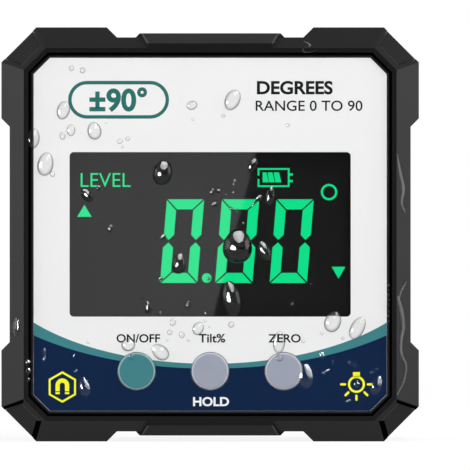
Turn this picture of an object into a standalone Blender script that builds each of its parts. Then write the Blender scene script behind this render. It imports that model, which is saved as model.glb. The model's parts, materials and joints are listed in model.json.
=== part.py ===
"""Digital angle gauge: a square level box with magnetic feet, a display and three buttons.

Metres, +Z up. The face looks along -Y and +X is to its right. The origin lies under the
middle of the box, on the surface that its feet stand on. Places along Y are given as a
depth behind the frame's front plane, and places across the face from its middle.
"""
import math

import bmesh
import bpy
from mathutils import Matrix, Vector

# Gaps between pieces
SEAT_GAP = 0.0003
SNUG_GAP = 0.0001
RUN_GAP = 0.00015
THREAD_GAP = 0.0002
OVERSHOOT = 0.0010
WELD = 0.000001

# Two cells lie side by side along X in the bay of the rear cover
CELL_LENGTH = 0.0445
CELL_DIAMETER = 0.0105
NUB_DIAMETER = 0.0038
NUB_LENGTH = 0.0010
CONTACT_THICKNESS = 0.0003
CONTACT_HEIGHT = 0.0085
CONTACT_TAB_WIDTH = 0.0024
SPRING_LENGTH = 0.0018
SPRING_WIRE = 0.0004
SPRING_WIDE_RADIUS = 0.0032
SPRING_NARROW_RADIUS = 0.0016
SPRING_TURNS = 2.5
SPRING_STEPS_PER_TURN = 10
BAY_WALL = 0.0010
BAY_FLOOR = 0.0012
LID_CLEARANCE = 0.0004

# Display, its lens and what carries it
WINDOW_WIDTH = 0.0410
WINDOW_HEIGHT = 0.0240
WINDOW_CORNER = 0.0006
LENS_SETBACK = 0.0001
LENS_FLANGE = 0.0009
LENS_LIP = 0.0017
VIEW_MARGIN = 0.0005
GLASS_BORDER = 0.0020
GLASS_PLATE = 0.0011
GLASS_LEDGE = 0.0024
HOLDER_WALL = 0.0010
HOLDER_FLOOR = 0.0008
GUIDE_THICKNESS = 0.0020
STRIP_THICKNESS = 0.0016
LAMP_LENGTH = 0.0016
LAMP_WIDTH = 0.0032
LAMP_MARGIN = 0.0006

# Board and what is soldered to it
BOARD_THICKNESS = 0.0012
BOARD_MARGIN = 0.0005
BEHIND_BOARD = 0.0026
CONTROL_CHIP = 0.0070
SENSOR_CHIP = 0.0032
CHIP_HEIGHT = 0.0010
CRYSTAL_DIAMETER = 0.0018
CRYSTAL_LENGTH = 0.0060

# Buttons
CAP_DIAMETER = 0.0054
CAP_PROUD = 0.0004
CAP_EDGE = 0.0004
CAP_FLANGE_WIDTH = 0.0007
CAP_FLANGE = 0.0007
STEM_DIAMETER = 0.0024
BUTTON_TRAVEL = 0.0004
BUTTON_SPACING = 0.01073
BUTTON_CLEARANCE = 0.00174
BUTTON_TO_EDGE = 0.00656
SWITCH_SIZE = 0.0060
SWITCH_HEIGHT = 0.0034
PLUNGER_DIAMETER = 0.0032
PLUNGER_RISE = 0.0010
PLUNGER_GUIDE = 0.0010

# Covers
RIM_SETBACK = 0.0005
RIM_WIDTH = 0.00035
COVER_GAP = 0.0003
COVER_PLATE = 0.0019
SKIRT_WALL = 0.0012
SEAL_THICKNESS = 0.0009
SEAL_WIDTH = 0.0010
FILM_SETBACK = 0.0001
FILM_THICKNESS = 0.0003
BOSS_DIAMETER = 0.0040
BOSS_SPACE = 0.0009
POST_DIAMETER = 0.0048
POST_INSET = 0.0045
COVER_EDGE = 0.0002

# Battery door
DOOR_FLANGE = 0.0012
DOOR_LAP = 0.0013
DOOR_SETBACK = 0.0002
DOOR_SEAL = 0.0006
DOOR_TAB_WIDTH = 0.0080
DOOR_TAB_REACH = 0.0045
DOOR_TAB_PAD = 0.0005
SEAT_FLOOR = 0.0008

# Screws
CASE_SCREW_DIAMETER = 0.0020
CASE_SCREW_LENGTH = 0.0190
CASE_HEAD_DIAMETER = 0.0038
CASE_HEAD_HEIGHT = 0.0014
CASE_HEAD_SINK = 0.0003
BOARD_SCREW_DIAMETER = 0.0018
BOARD_SCREW_LENGTH = 0.0050
BOARD_HEAD_DIAMETER = 0.0034
BOARD_HEAD_HEIGHT = 0.0012
DOOR_SCREW_DIAMETER = 0.0018
DOOR_SCREW_LENGTH = 0.0060
DOOR_HEAD_DIAMETER = 0.0034
DOOR_HEAD_HEIGHT = 0.0011
SLOT_LENGTH = 0.0022
SLOT_WIDTH = 0.0005
SLOT_DEPTH = 0.0006
TIP_LENGTH = 0.0008

# Frame
SIDE_WALL = 0.0040
BASE_WALL = 0.00375
LIP_WIDTH = 0.00067
FRONT_BEVEL = 0.0032
REAR_CHAMFER = 0.0010
CORNER_CHAMFER = 0.0051
RIB_WIDTH = 0.0015
RIB_THICKNESS = 0.0030
RIB_WEB = 0.0012
SIDE_BUMPER = 0.0082
SIDE_RECESS = 0.00123
FOOT_LENGTH = 0.0103
NOTCH_DEPTH = 0.0015
BAR_WIDTH = 0.0206
BAR_RECESS = 0.0009
BAR_BEVEL = 0.0015
BAR_END_INSET = 0.0004
BAR_END_RUN = 0.0009
BAR_END_STEP = 0.00027
POCKET_BORDER = 0.0006
POCKET_INSET = 0.0010
POCKET_DEPTH = 0.0012
POCKET_DRAFT = 0.0006
POCKET_END_RUN = 0.0015
POCKET_OVERRUN = 2.0
GROOVE_WIDTH = 0.0080
GROOVE_DEPTH = 0.0022
MAGNET_DIAMETER = 0.0055
MAGNET_THICKNESS = 0.0020
MAGNET_SETBACK = 0.0001
MAGNET_MARGIN = 0.00065
FRAME_EDGE = 0.00015

# Facets of round forms, and the angles past which an edge is sharp or softened
SIDES_FINE = 36
SIDES_MEDIUM = 24
SIDES_COARSE = 16
SHARP_ANGLE = math.radians(40)
SOFTENED_ANGLE = math.radians(25)

# Depths from the front plane, each from what lies in front of it
FILM_FRONT = RIM_SETBACK + FILM_SETBACK
FILM_BACK = FILM_FRONT + FILM_THICKNESS
FILM_SEAT = FILM_BACK + SNUG_GAP
LENS_BACK = FILM_SEAT + LENS_FLANGE
PLATE_BACK = FILM_SEAT + COVER_PLATE
GLASS_FRONT = PLATE_BACK + SEAT_GAP
GLASS_BACK = GLASS_FRONT + 2 * GLASS_PLATE
GUIDE_FRONT = GLASS_BACK + SEAT_GAP
GUIDE_BACK = GUIDE_FRONT + GUIDE_THICKNESS
HOLDER_BACK = GUIDE_BACK + SEAT_GAP + HOLDER_FLOOR
BOARD_FRONT = HOLDER_BACK + SEAT_GAP
BOARD_BACK = BOARD_FRONT + BOARD_THICKNESS
BAY_FRONT = BOARD_BACK + BEHIND_BOARD
CELL_FRONT = BAY_FRONT + BAY_FLOOR + SEAT_GAP
CELL_MIDDLE = CELL_FRONT + CELL_DIAMETER / 2
DOOR_SEAT = CELL_FRONT + CELL_DIAMETER + LID_CLEARANCE
PLUG_BACK = DOOR_SEAT + DOOR_SEAL + 2 * SNUG_GAP
DOOR_BACK = PLUG_BACK + DOOR_FLANGE
REAR_PLATE = DOOR_SEAT - SEAT_FLOOR
REAR_FACE = DOOR_BACK + DOOR_SETBACK
FRAME_DEPTH = REAR_FACE + RIM_SETBACK
RIB_FRONT = (FRAME_DEPTH - RIB_THICKNESS) / 2
RIB_BACK = (FRAME_DEPTH + RIB_THICKNESS) / 2

# Sizes across the face: the opening is as wide as the battery bay, the display or the buttons
# need. Beside the buttons, the board's screws have to clear its cut corners.
BAY_LENGTH = CELL_LENGTH + 2 * CONTACT_THICKNESS + SPRING_LENGTH + 5 * SNUG_GAP
BAY_HEIGHT = 2 * CELL_DIAMETER + 3 * SEAT_GAP
GLASS_WIDTH = WINDOW_WIDTH + 2 * GLASS_BORDER
GLASS_HEIGHT = WINDOW_HEIGHT + 2 * GLASS_BORDER
GUIDE_LENGTH = GLASS_WIDTH - 2 * (LAMP_MARGIN + LAMP_LENGTH + SEAT_GAP)
HOLDER_WIDTH = GLASS_WIDTH + 2 * (THREAD_GAP + HOLDER_WALL)
HOLDER_HEIGHT = GLASS_HEIGHT + 2 * (THREAD_GAP + HOLDER_WALL)
BUTTON_DROP = HOLDER_HEIGHT / 2 + BUTTON_CLEARANCE + SWITCH_SIZE / 2
WIDTH_FOR_BAY = BAY_LENGTH + 2 * (BAY_WALL + SEAT_GAP + RIB_WIDTH)
WIDTH_FOR_DISPLAY = HOLDER_WIDTH + 2 * (SEAT_GAP + SKIRT_WALL + COVER_GAP)
CAP_FLANGE_DIAMETER = CAP_DIAMETER + 2 * CAP_FLANGE_WIDTH
BOSS_X = BUTTON_SPACING + CAP_FLANGE_DIAMETER / 2 + BOSS_SPACE + BOSS_DIAMETER / 2
BOSS_TO_POST = (BOSS_DIAMETER + POST_DIAMETER) / 2 + BOARD_MARGIN
CORNER_REACH = math.sqrt(2) * BOSS_TO_POST + 2 * POST_INSET - BUTTON_TO_EDGE
WIDTH_FOR_BUTTONS = 2 * (BOSS_X + CORNER_REACH)
OPENING_WIDTH = max(WIDTH_FOR_BAY, WIDTH_FOR_DISPLAY, WIDTH_FOR_BUTTONS)
OPENING_HEIGHT = 2 * (BUTTON_DROP + BUTTON_TO_EDGE)
FRAME_WIDTH = OPENING_WIDTH + 2 * SIDE_WALL
FRAME_HEIGHT = OPENING_HEIGHT + 2 * BASE_WALL
MIDDLE = FRAME_HEIGHT / 2
FRONT_Y = -FRAME_DEPTH / 2
POST_X = OPENING_WIDTH / 2 - POST_INSET
POST_Z = OPENING_HEIGHT / 2 - POST_INSET
CELL_Z = (CELL_DIAMETER + SEAT_GAP) / 2
DOOR_SCREW_Z = BAY_HEIGHT / 2 + DOOR_LAP + DOOR_TAB_REACH / 2

BLACK = (0.012, 0.012, 0.013)
CASE_GREY = (0.03, 0.031, 0.034)
WHITE = (0.86, 0.86, 0.87)
CLEAR = (0.9, 0.92, 0.93)
DISPLAY_BLACK = (0.008, 0.009, 0.010)
TEAL = (0.052, 0.222, 0.246)
BUTTON_GREY = (0.33, 0.35, 0.43)
BOARD_GREEN = (0.01, 0.09, 0.04)
STEEL = (0.55, 0.55, 0.56)
RUBBER = (0.02, 0.02, 0.02)
CELL_SLEEVE = (0.08, 0.09, 0.12)


def corner_at(inset):
    """Leg of the corner chamfer on an outline that lies so far inside the frame's own."""
    return CORNER_CHAMFER - inset * (2 - math.sqrt(2))


def opening_block(name, inset, front, back, **choices):
    """A block with the opening's outline, drawn in all round by inset."""
    walls = (SIDE_WALL + BASE_WALL) / 2
    return block(name, OPENING_WIDTH - 2 * inset, OPENING_HEIGHT - 2 * inset, front, back,
                 corner=corner_at(walls + inset), **choices)


def make_material(name, colour, roughness, metallic=0.0, transmission=0.0, emission=0.0):
    material = bpy.data.materials.new(name)
    material.use_nodes = True
    shader = material.node_tree.nodes["Principled BSDF"]
    shader.inputs["Base Color"].default_value = (*colour, 1.0)
    shader.inputs["Roughness"].default_value = roughness
    shader.inputs["Metallic"].default_value = metallic
    shader.inputs["Transmission Weight"].default_value = transmission
    shader.inputs["Emission Color"].default_value = (*colour, 1.0)
    shader.inputs["Emission Strength"].default_value = emission
    return material


def make_collection(name):
    collection = bpy.data.collections.new(name)
    bpy.context.scene.collection.children.link(collection)
    return collection


def new_object(name, mesh, location=(0, 0, 0), rotation=(0, 0, 0)):
    """An object in the cutters' collection, until it is given a material as a piece."""
    thing = bpy.data.objects.new(name, mesh)
    thing.location = location
    thing.rotation_euler = rotation
    thing.hide_render = True
    thing.display_type = "WIRE"
    bpy.data.collections["cutters"].objects.link(thing)
    return thing


def piece(thing, material):
    """Moves a finished object from the cutters to the gauge, with its own material."""
    bpy.data.collections["cutters"].objects.unlink(thing)
    bpy.data.collections["digital_angle_gauge"].objects.link(thing)
    thing.hide_render = False
    thing.display_type = "TEXTURED"
    thing.data.materials.clear()
    thing.data.materials.append(material)
    return thing


def mesh_from(bm, name, smooth_angle=None):
    mesh = bpy.data.meshes.new(name)
    bm.to_mesh(mesh)
    bm.free()
    if smooth_angle is not None:
        mesh.shade_smooth()
        mesh.set_sharp_from_angle(angle=smooth_angle)
    return mesh


def edges_along(bm, axis):
    """The straight edges of a box that run along one axis."""
    found = []
    for edge in bm.edges:
        run = edge.verts[1].co - edge.verts[0].co
        if abs(run[axis]) > 0.5 * run.length:
            found.append(edge)
    return found


def bevel_edges(bm, edges, width, steps=1):
    bmesh.ops.bevel(bm, geom=edges, offset=width, offset_type="OFFSET", segments=steps,
                    profile=0.5, affect="EDGES", clamp_overlap=False, material=-1)


def block_mesh(width, height, depth, corner=0.0, corner_steps=1, front_edge=0.0, back_edge=0.0):
    """A block round the origin, its four long corners and its end edges cut or rounded."""
    bm = bmesh.new()
    bmesh.ops.create_cube(bm, size=1.0)
    bmesh.ops.scale(bm, vec=(width, depth, height), verts=bm.verts)
    if corner > 0:
        bevel_edges(bm, edges_along(bm, 1), corner, corner_steps)
    for side, width_of_edge in ((-1, front_edge), (1, back_edge)):
        if width_of_edge > 0:
            rim = [edge for edge in bm.edges
                   if all(vert.co.y * side > depth / 2 - WELD for vert in edge.verts)]
            bevel_edges(bm, rim, width_of_edge)
    return bm


def block(name, width, height, front, back, x=0.0, z=0.0, **choices):
    """A block between two depths, its middle at x, z from the middle of the face."""
    bm = block_mesh(width, height, back - front, **choices)
    place = (x, FRONT_Y + (front + back) / 2, MIDDLE + z)
    return new_object(name, mesh_from(bm, name), place)


def rod(name, diameter, front, back, x=0.0, z=0.0, sides=SIDES_MEDIUM, back_diameter=None):
    """A round bar or cone that lies along Y between two depths."""
    bm = bmesh.new()
    far = diameter if back_diameter is None else back_diameter
    bmesh.ops.create_cone(bm, cap_ends=True, segments=sides, radius1=far / 2,
                          radius2=diameter / 2, depth=back - front)
    place = (x, FRONT_Y + (front + back) / 2, MIDDLE + z)
    return new_object(name, mesh_from(bm, name, SHARP_ANGLE), place, (math.pi / 2, 0, 0))


def baked(thing):
    """Takes an object's evaluated mesh as its own, so that copies can share it."""
    graph = bpy.context.evaluated_depsgraph_get()
    mesh = bpy.data.meshes.new_from_object(thing.evaluated_get(graph))
    thing.modifiers.clear()
    thing.data = mesh
    mesh.shade_smooth()
    mesh.set_sharp_from_angle(angle=SHARP_ANGLE)
    return thing


def turned(name, profile, sides, location, rotation=(math.pi / 2, 0, 0)):
    """A turned piece. Its profile holds radius and height, from the top of its axis down."""
    bm = bmesh.new()
    points = [bm.verts.new((radius, 0, height)) for radius, height in profile]
    for first, second in zip(points, points[1:]):
        bm.edges.new((first, second))
    thing = new_object(name, mesh_from(bm, name), location, rotation)
    screw = thing.modifiers.new("turn", "SCREW")
    screw.steps = sides
    screw.render_steps = sides
    screw.use_merge_vertices = True
    screw.merge_threshold = WELD
    return baked(thing)


def turned_at_depth(name, profile, sides, x, z):
    """A turned piece along Y, whose profile holds radius and depth behind the front plane."""
    heights = [(radius, -depth) for radius, depth in profile]
    return turned(name, heights, sides, (x, FRONT_Y, MIDDLE + z))


def combine(target, tool, operation):
    change = target.modifiers.new(tool.name, "BOOLEAN")
    change.solver = "EXACT"
    change.operation = operation
    change.object = tool


def cut(target, *tools):
    for tool in tools:
        combine(target, tool, "DIFFERENCE")


def join(target, *tools):
    for tool in tools:
        combine(target, tool, "UNION")


def mirrored(thing, use_x=True, use_z=False):
    """Repeats a cutter on the far side of the face's middle."""
    shift = Vector((-thing.location.x, 0, MIDDLE - thing.location.z))
    thing.data.transform(Matrix.Translation(-shift))
    thing.location += shift
    mirror = thing.modifiers.new("mirror", "MIRROR")
    mirror.use_axis = (use_x, False, use_z)
    mirror.merge_threshold = WELD
    return thing


def slice_off(bm, point, normal):
    """Cuts away what lies in front of a plane and closes the cut."""
    everything = bm.verts[:] + bm.edges[:] + bm.faces[:]
    result = bmesh.ops.bisect_plane(bm, geom=everything, dist=WELD, plane_co=point,
                                    plane_no=normal, clear_outer=True)
    rim = [item for item in result["geom_cut"] if isinstance(item, bmesh.types.BMEdge)]
    bmesh.ops.holes_fill(bm, edges=rim)
    bmesh.ops.recalc_face_normals(bm, faces=bm.faces[:])


def copies(first, names, places, material):
    """The first object and its copies, which share its mesh, each at its own place."""
    things = [first]
    for name in names[1:]:
        things.append(new_object(name, first.data, first.location, first.rotation_euler))
    for thing, place in zip(things, places):
        thing.location = place
        piece(thing, material)
    return things


def four_corners(x, z):
    return [(x, z), (-x, z), (-x, -z), (x, -z)]


def front_bevel_planes():
    """The planes of the frame's sloping front: two sides, top and base, four corners."""
    ridge_x = OPENING_WIDTH / 2 + LIP_WIDTH
    ridge_z = OPENING_HEIGHT / 2 + LIP_WIDTH
    yield Vector((ridge_x, 0, 0)), Vector((FRONT_BEVEL, LIP_WIDTH - SIDE_WALL, 0))
    yield Vector((0, 0, ridge_z)), Vector((0, LIP_WIDTH - BASE_WALL, FRONT_BEVEL))
    inner, outer, _, _ = corner_facet()
    run = outer - inner
    yield inner, Vector((run.y, -run.x - run.z, run.y)).normalized()


def corner_facet():
    """The sloping facet of the upper right corner: inner and outer middle, half widths."""
    ridge_x = OPENING_WIDTH / 2 + LIP_WIDTH
    ridge_z = OPENING_HEIGHT / 2 + LIP_WIDTH
    wall = (SIDE_WALL + BASE_WALL) / 2
    ridge_leg = corner_at(wall - LIP_WIDTH)
    inner = Vector((ridge_x - ridge_leg / 2, 0, ridge_z - ridge_leg / 2))
    outer = Vector((FRAME_WIDTH / 2 - CORNER_CHAMFER / 2, FRONT_BEVEL,
                    FRAME_HEIGHT / 2 - CORNER_CHAMFER / 2))
    return inner, outer, ridge_leg / math.sqrt(2), CORNER_CHAMFER / math.sqrt(2)


def corner_pocket():
    """A hollow in each corner facet, with sloping end walls, open to the corner."""
    inner, outer, half_in, half_out = corner_facet()
    run = outer - inner
    slope = run.normalized()
    along = Vector((1, 0, -1)).normalized()
    normal = slope.cross(along).normalized()
    if normal.y > 0:
        normal.negate()
    bm = bmesh.new()
    bmesh.ops.create_cube(bm, size=2.0)
    for vert in bm.verts:
        lift = -POCKET_DEPTH if vert.co.z < 0 else OVERSHOOT
        start = POCKET_INSET - POCKET_END_RUN * lift / POCKET_DEPTH
        share = start / run.length if vert.co.y < 0 else POCKET_OVERRUN
        draft = POCKET_DRAFT * lift / POCKET_DEPTH
        half = half_in + (half_out - half_in) * share - POCKET_BORDER + draft
        vert.co = inner + run * share + along * (half * vert.co.x) + normal * lift
    bmesh.ops.recalc_face_normals(bm, faces=bm.faces[:])
    tool = new_object("pocket_cutter", mesh_from(bm, "pocket_cutter"), (0, FRONT_Y, MIDDLE))
    return mirrored(tool, use_x=True, use_z=True)


def flared_cutter(name, half_floor, floor, half_mouth, mouth, sideways):
    """A cut through the whole depth whose ends slope out from its floor to its mouth."""
    bm = bmesh.new()
    bmesh.ops.create_cube(bm, size=2.0)
    for vert in bm.verts:
        at_mouth = vert.co.z > 0
        across = vert.co.x * (half_mouth if at_mouth else half_floor)
        reach = mouth if at_mouth else floor
        depth = vert.co.y * FRAME_DEPTH
        vert.co = (reach, depth, -across) if sideways else (across, depth, reach)
    tool = new_object(name, mesh_from(bm, name), (0, 0, MIDDLE))
    return mirrored(tool, use_x=sideways, use_z=not sideways)


def raised_bar():
    """The bar in the middle of the top and of the base, with its own short front bevel."""
    top = FRAME_HEIGHT / 2 - BAR_RECESS
    root = OPENING_HEIGHT / 2 + LIP_WIDTH
    half = BAR_WIDTH / 2
    bm = block_mesh(BAR_WIDTH + 4 * NOTCH_DEPTH, top - root, FRAME_DEPTH)
    bmesh.ops.translate(bm, vec=(0, FRAME_DEPTH / 2, (top + root) / 2), verts=bm.verts)
    slice_off(bm, (0, BAR_BEVEL, top), (0, -1, 1))
    slice_off(bm, (0, FRAME_DEPTH - REAR_CHAMFER, top), (0, 1, 1))
    for side in (-1, 1):
        slice_off(bm, (side * half, 0, top), (side, 0, 1))
        outer = Vector((side * (half - BAR_END_INSET), BAR_BEVEL, top))
        edge = Vector((-side * BAR_END_RUN, -BAR_BEVEL, -BAR_BEVEL))
        down = Vector((side * BAR_END_STEP, BAR_RECESS / 2, -BAR_RECESS / 2))
        normal = edge.cross(down).normalized()
        if normal.x * side < 0:
            normal.negate()
        slice_off(bm, outer, normal)
    tool = new_object("bar", mesh_from(bm, "bar"), (0, FRONT_Y, MIDDLE))
    return mirrored(tool, use_x=False, use_z=True)


def housing_frame(material):
    """The outer frame: an eight-sided ring with bumpers, bars, pockets and an inner rib."""
    bm = block_mesh(FRAME_WIDTH, FRAME_HEIGHT, FRAME_DEPTH, corner=CORNER_CHAMFER,
                    back_edge=REAR_CHAMFER)
    bmesh.ops.translate(bm, vec=(0, FRAME_DEPTH / 2, 0), verts=bm.verts)
    for point, normal in front_bevel_planes():
        for side_x in (-1, 1):
            for side_z in (-1, 1):
                sides = Vector((side_x, 1, side_z))
                slice_off(bm, point * sides, normal * sides)
    bmesh.ops.remove_doubles(bm, verts=bm.verts, dist=WELD)
    frame = new_object("housing_frame", mesh_from(bm, "housing_frame"), (0, FRONT_Y, MIDDLE))

    notch_floor = FRAME_HEIGHT / 2 - NOTCH_DEPTH
    notch_half = FRAME_WIDTH / 2 - CORNER_CHAMFER - FOOT_LENGTH - NOTCH_DEPTH
    cut(frame, flared_cutter("notch_cutter", notch_half, notch_floor,
                             notch_half + 2 * NOTCH_DEPTH, notch_floor + 2 * NOTCH_DEPTH, False))
    join(frame, raised_bar())
    recess_floor = FRAME_WIDTH / 2 - SIDE_RECESS
    recess_half = FRAME_HEIGHT / 2 - CORNER_CHAMFER - SIDE_BUMPER - SIDE_RECESS
    cut(frame, flared_cutter("recess_cutter", recess_half, recess_floor,
                             recess_half + 2 * SIDE_RECESS, recess_floor + 2 * SIDE_RECESS, True))
    cut(frame, corner_pocket())

    cut(frame, opening_block("front_opening", 0, -OVERSHOOT, RIB_FRONT))
    cut(frame, opening_block("rear_opening", 0, RIB_BACK, FRAME_DEPTH + OVERSHOOT))
    web = (CASE_SCREW_DIAMETER / 2 + 2 * THREAD_GAP + RIB_WEB) * math.sqrt(2)
    rib_x = OPENING_WIDTH / 2 - RIB_WIDTH
    rib_z = OPENING_HEIGHT / 2 - RIB_WIDTH
    rib_leg = rib_x + rib_z - (POST_X + POST_Z - web)
    cut(frame, block("rib_opening", 2 * rib_x, 2 * rib_z, RIB_FRONT - OVERSHOOT,
                     RIB_BACK + OVERSHOOT, corner=rib_leg))
    screw_hole = CASE_SCREW_DIAMETER + 4 * THREAD_GAP
    for number, (x, z) in enumerate(four_corners(POST_X, POST_Z), 1):
        cut(frame, rod(f"rib_hole_{number}", screw_hole, RIB_FRONT - OVERSHOOT,
                       RIB_BACK + OVERSHOOT, x, z, SIDES_COARSE))

    cut(frame, base_groove())
    bore = MAGNET_DIAMETER + 2 * RUN_GAP
    bore_depth = MAGNET_SETBACK + MAGNET_THICKNESS + SNUG_GAP
    for number, (x, y) in enumerate(magnet_places(), 1):
        bm = bmesh.new()
        bmesh.ops.create_cone(bm, cap_ends=True, segments=SIDES_MEDIUM, radius1=bore / 2,
                              radius2=bore / 2, depth=2 * bore_depth)
        name = f"magnet_bore_{number}"
        cut(frame, new_object(name, mesh_from(bm, name), (x, y, 0)))

    soften = frame.modifiers.new("soft_edges", "BEVEL")
    soften.width = FRAME_EDGE
    soften.segments = 1
    soften.limit_method = "ANGLE"
    soften.angle_limit = SOFTENED_ANGLE
    soften.use_clamp_overlap = True
    return piece(frame, material)


def base_groove():
    """The V groove along the base, which seats the gauge on a tube."""
    bm = bmesh.new()
    bmesh.ops.create_cube(bm, size=2.0)
    bmesh.ops.scale(bm, vec=(FRAME_WIDTH, GROOVE_WIDTH, GROOVE_DEPTH), verts=bm.verts)
    for side in (-1, 1):
        crest = [vert for vert in bm.verts if vert.co.z > 0 and vert.co.x * side > 0]
        bmesh.ops.pointmerge(bm, verts=crest, merge_co=(side * FRAME_WIDTH, 0, GROOVE_DEPTH))
    bmesh.ops.recalc_face_normals(bm, faces=bm.faces[:])
    return new_object("groove_cutter", mesh_from(bm, "groove_cutter"))


def magnet_places():
    x = FRAME_WIDTH / 2 - CORNER_CHAMFER - FOOT_LENGTH / 2
    y = GROOVE_WIDTH / 2 + MAGNET_MARGIN + MAGNET_DIAMETER / 2
    return four_corners(x, y)


def base_magnets(material):
    radius = MAGNET_DIAMETER / 2
    edge = MAGNET_SETBACK
    profile = [(0, MAGNET_THICKNESS), (radius - edge, MAGNET_THICKNESS),
               (radius, MAGNET_THICKNESS - edge), (radius, edge), (radius - edge, 0), (0, 0)]
    first = turned("base_magnet_1", profile, SIDES_MEDIUM, (0, 0, 0), (0, 0, 0))
    names = [f"base_magnet_{number}" for number in range(1, 5)]
    copies(first, names, [(x, y, MAGNET_SETBACK) for x, y in magnet_places()], material)


def front_cover(material):
    """The front moulding: rim, film seat, lens seat, skirt, screw posts and board bosses."""
    skirt_end = RIB_FRONT - SEAL_THICKNESS - 2 * SNUG_GAP
    cover = opening_block("front_cover", COVER_GAP, RIM_SETBACK, skirt_end,
                          front_edge=COVER_EDGE)
    cut(cover, opening_block("front_hollow", COVER_GAP + SKIRT_WALL, PLATE_BACK,
                             skirt_end + OVERSHOOT))
    inside = PLATE_BACK - COVER_PLATE / 2
    for number, (x, z) in enumerate(four_corners(POST_X, POST_Z), 1):
        join(cover, rod(f"front_post_{number}", POST_DIAMETER, inside, RIB_FRONT - SEAT_GAP,
                        x, z, SIDES_COARSE))
    for number, (x, z) in enumerate(four_corners(BOSS_X, BUTTON_DROP), 1):
        join(cover, rod(f"board_boss_{number}", BOSS_DIAMETER, inside, BOARD_FRONT - SEAT_GAP,
                        x, z, SIDES_COARSE))
    cut(cover, opening_block("film_seat", COVER_GAP + RIM_WIDTH, RIM_SETBACK - OVERSHOOT,
                             FILM_SEAT))
    cut(cover, block("lens_seat", WINDOW_WIDTH + 2 * LENS_LIP, WINDOW_HEIGHT + 2 * LENS_LIP,
                     FILM_FRONT, LENS_BACK + SNUG_GAP, corner=WINDOW_CORNER))
    cut(cover, block("view_opening", WINDOW_WIDTH + 2 * VIEW_MARGIN,
                     WINDOW_HEIGHT + 2 * VIEW_MARGIN, FILM_FRONT, PLATE_BACK + OVERSHOOT,
                     corner=WINDOW_CORNER))
    for name, x in button_row():
        cut(cover, rod(f"cap_bore_{name}", CAP_DIAMETER + 2 * RUN_GAP, FILM_FRONT,
                       PLATE_BACK + OVERSHOOT, x, -BUTTON_DROP, SIDES_FINE))
    case_tip = case_screw_front() - TIP_LENGTH
    for number, (x, z) in enumerate(four_corners(POST_X, POST_Z), 1):
        cut(cover, rod(f"case_pilot_{number}", CASE_SCREW_DIAMETER + 2 * THREAD_GAP, case_tip,
                       RIB_FRONT + OVERSHOOT, x, z, SIDES_COARSE))
    board_tip = BOARD_BACK + SNUG_GAP - BOARD_SCREW_LENGTH - TIP_LENGTH
    for number, (x, z) in enumerate(four_corners(BOSS_X, BUTTON_DROP), 1):
        cut(cover, rod(f"board_pilot_{number}", BOARD_SCREW_DIAMETER + 2 * THREAD_GAP,
                       board_tip, BOARD_FRONT + OVERSHOOT, x, z, SIDES_COARSE))
    return piece(cover, material)


def seal_ring(name, front, material):
    """A flat rubber ring between a cover's skirt and the frame's rib."""
    ring = opening_block(name, COVER_GAP, front, front + SEAL_THICKNESS)
    cut(ring, opening_block(name + "_hole", COVER_GAP + SEAL_WIDTH, front - OVERSHOOT,
                            front + SEAL_THICKNESS + OVERSHOOT))
    return piece(ring, material)


def face_overlay(material):
    film = opening_block("face_overlay", COVER_GAP + RIM_WIDTH + SNUG_GAP, FILM_FRONT, FILM_BACK)
    cut(film, block("film_window", WINDOW_WIDTH, WINDOW_HEIGHT, FILM_FRONT - OVERSHOOT,
                    FILM_BACK + OVERSHOOT, corner=WINDOW_CORNER, corner_steps=4))
    for name, x in button_row():
        cut(film, rod(f"film_hole_{name}", CAP_DIAMETER + 2 * SNUG_GAP, FILM_FRONT - OVERSHOOT,
                      FILM_BACK + OVERSHOOT, x, -BUTTON_DROP, SIDES_FINE))
    return piece(film, material)


def display_window(material):
    """The clear lens: a raised pane that fills the film's opening, on a hidden flange."""
    pane_front = FILM_FRONT + LENS_SETBACK
    lens = block("display_window", WINDOW_WIDTH + 2 * (LENS_LIP - SNUG_GAP),
                 WINDOW_HEIGHT + 2 * (LENS_LIP - SNUG_GAP), FILM_SEAT, LENS_BACK,
                 corner=WINDOW_CORNER)
    join(lens, block("pane", WINDOW_WIDTH - 2 * SNUG_GAP, WINDOW_HEIGHT - 2 * SNUG_GAP,
                     pane_front, (FILM_SEAT + LENS_BACK) / 2, corner=WINDOW_CORNER,
                     corner_steps=4))
    return piece(lens, material)


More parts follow.
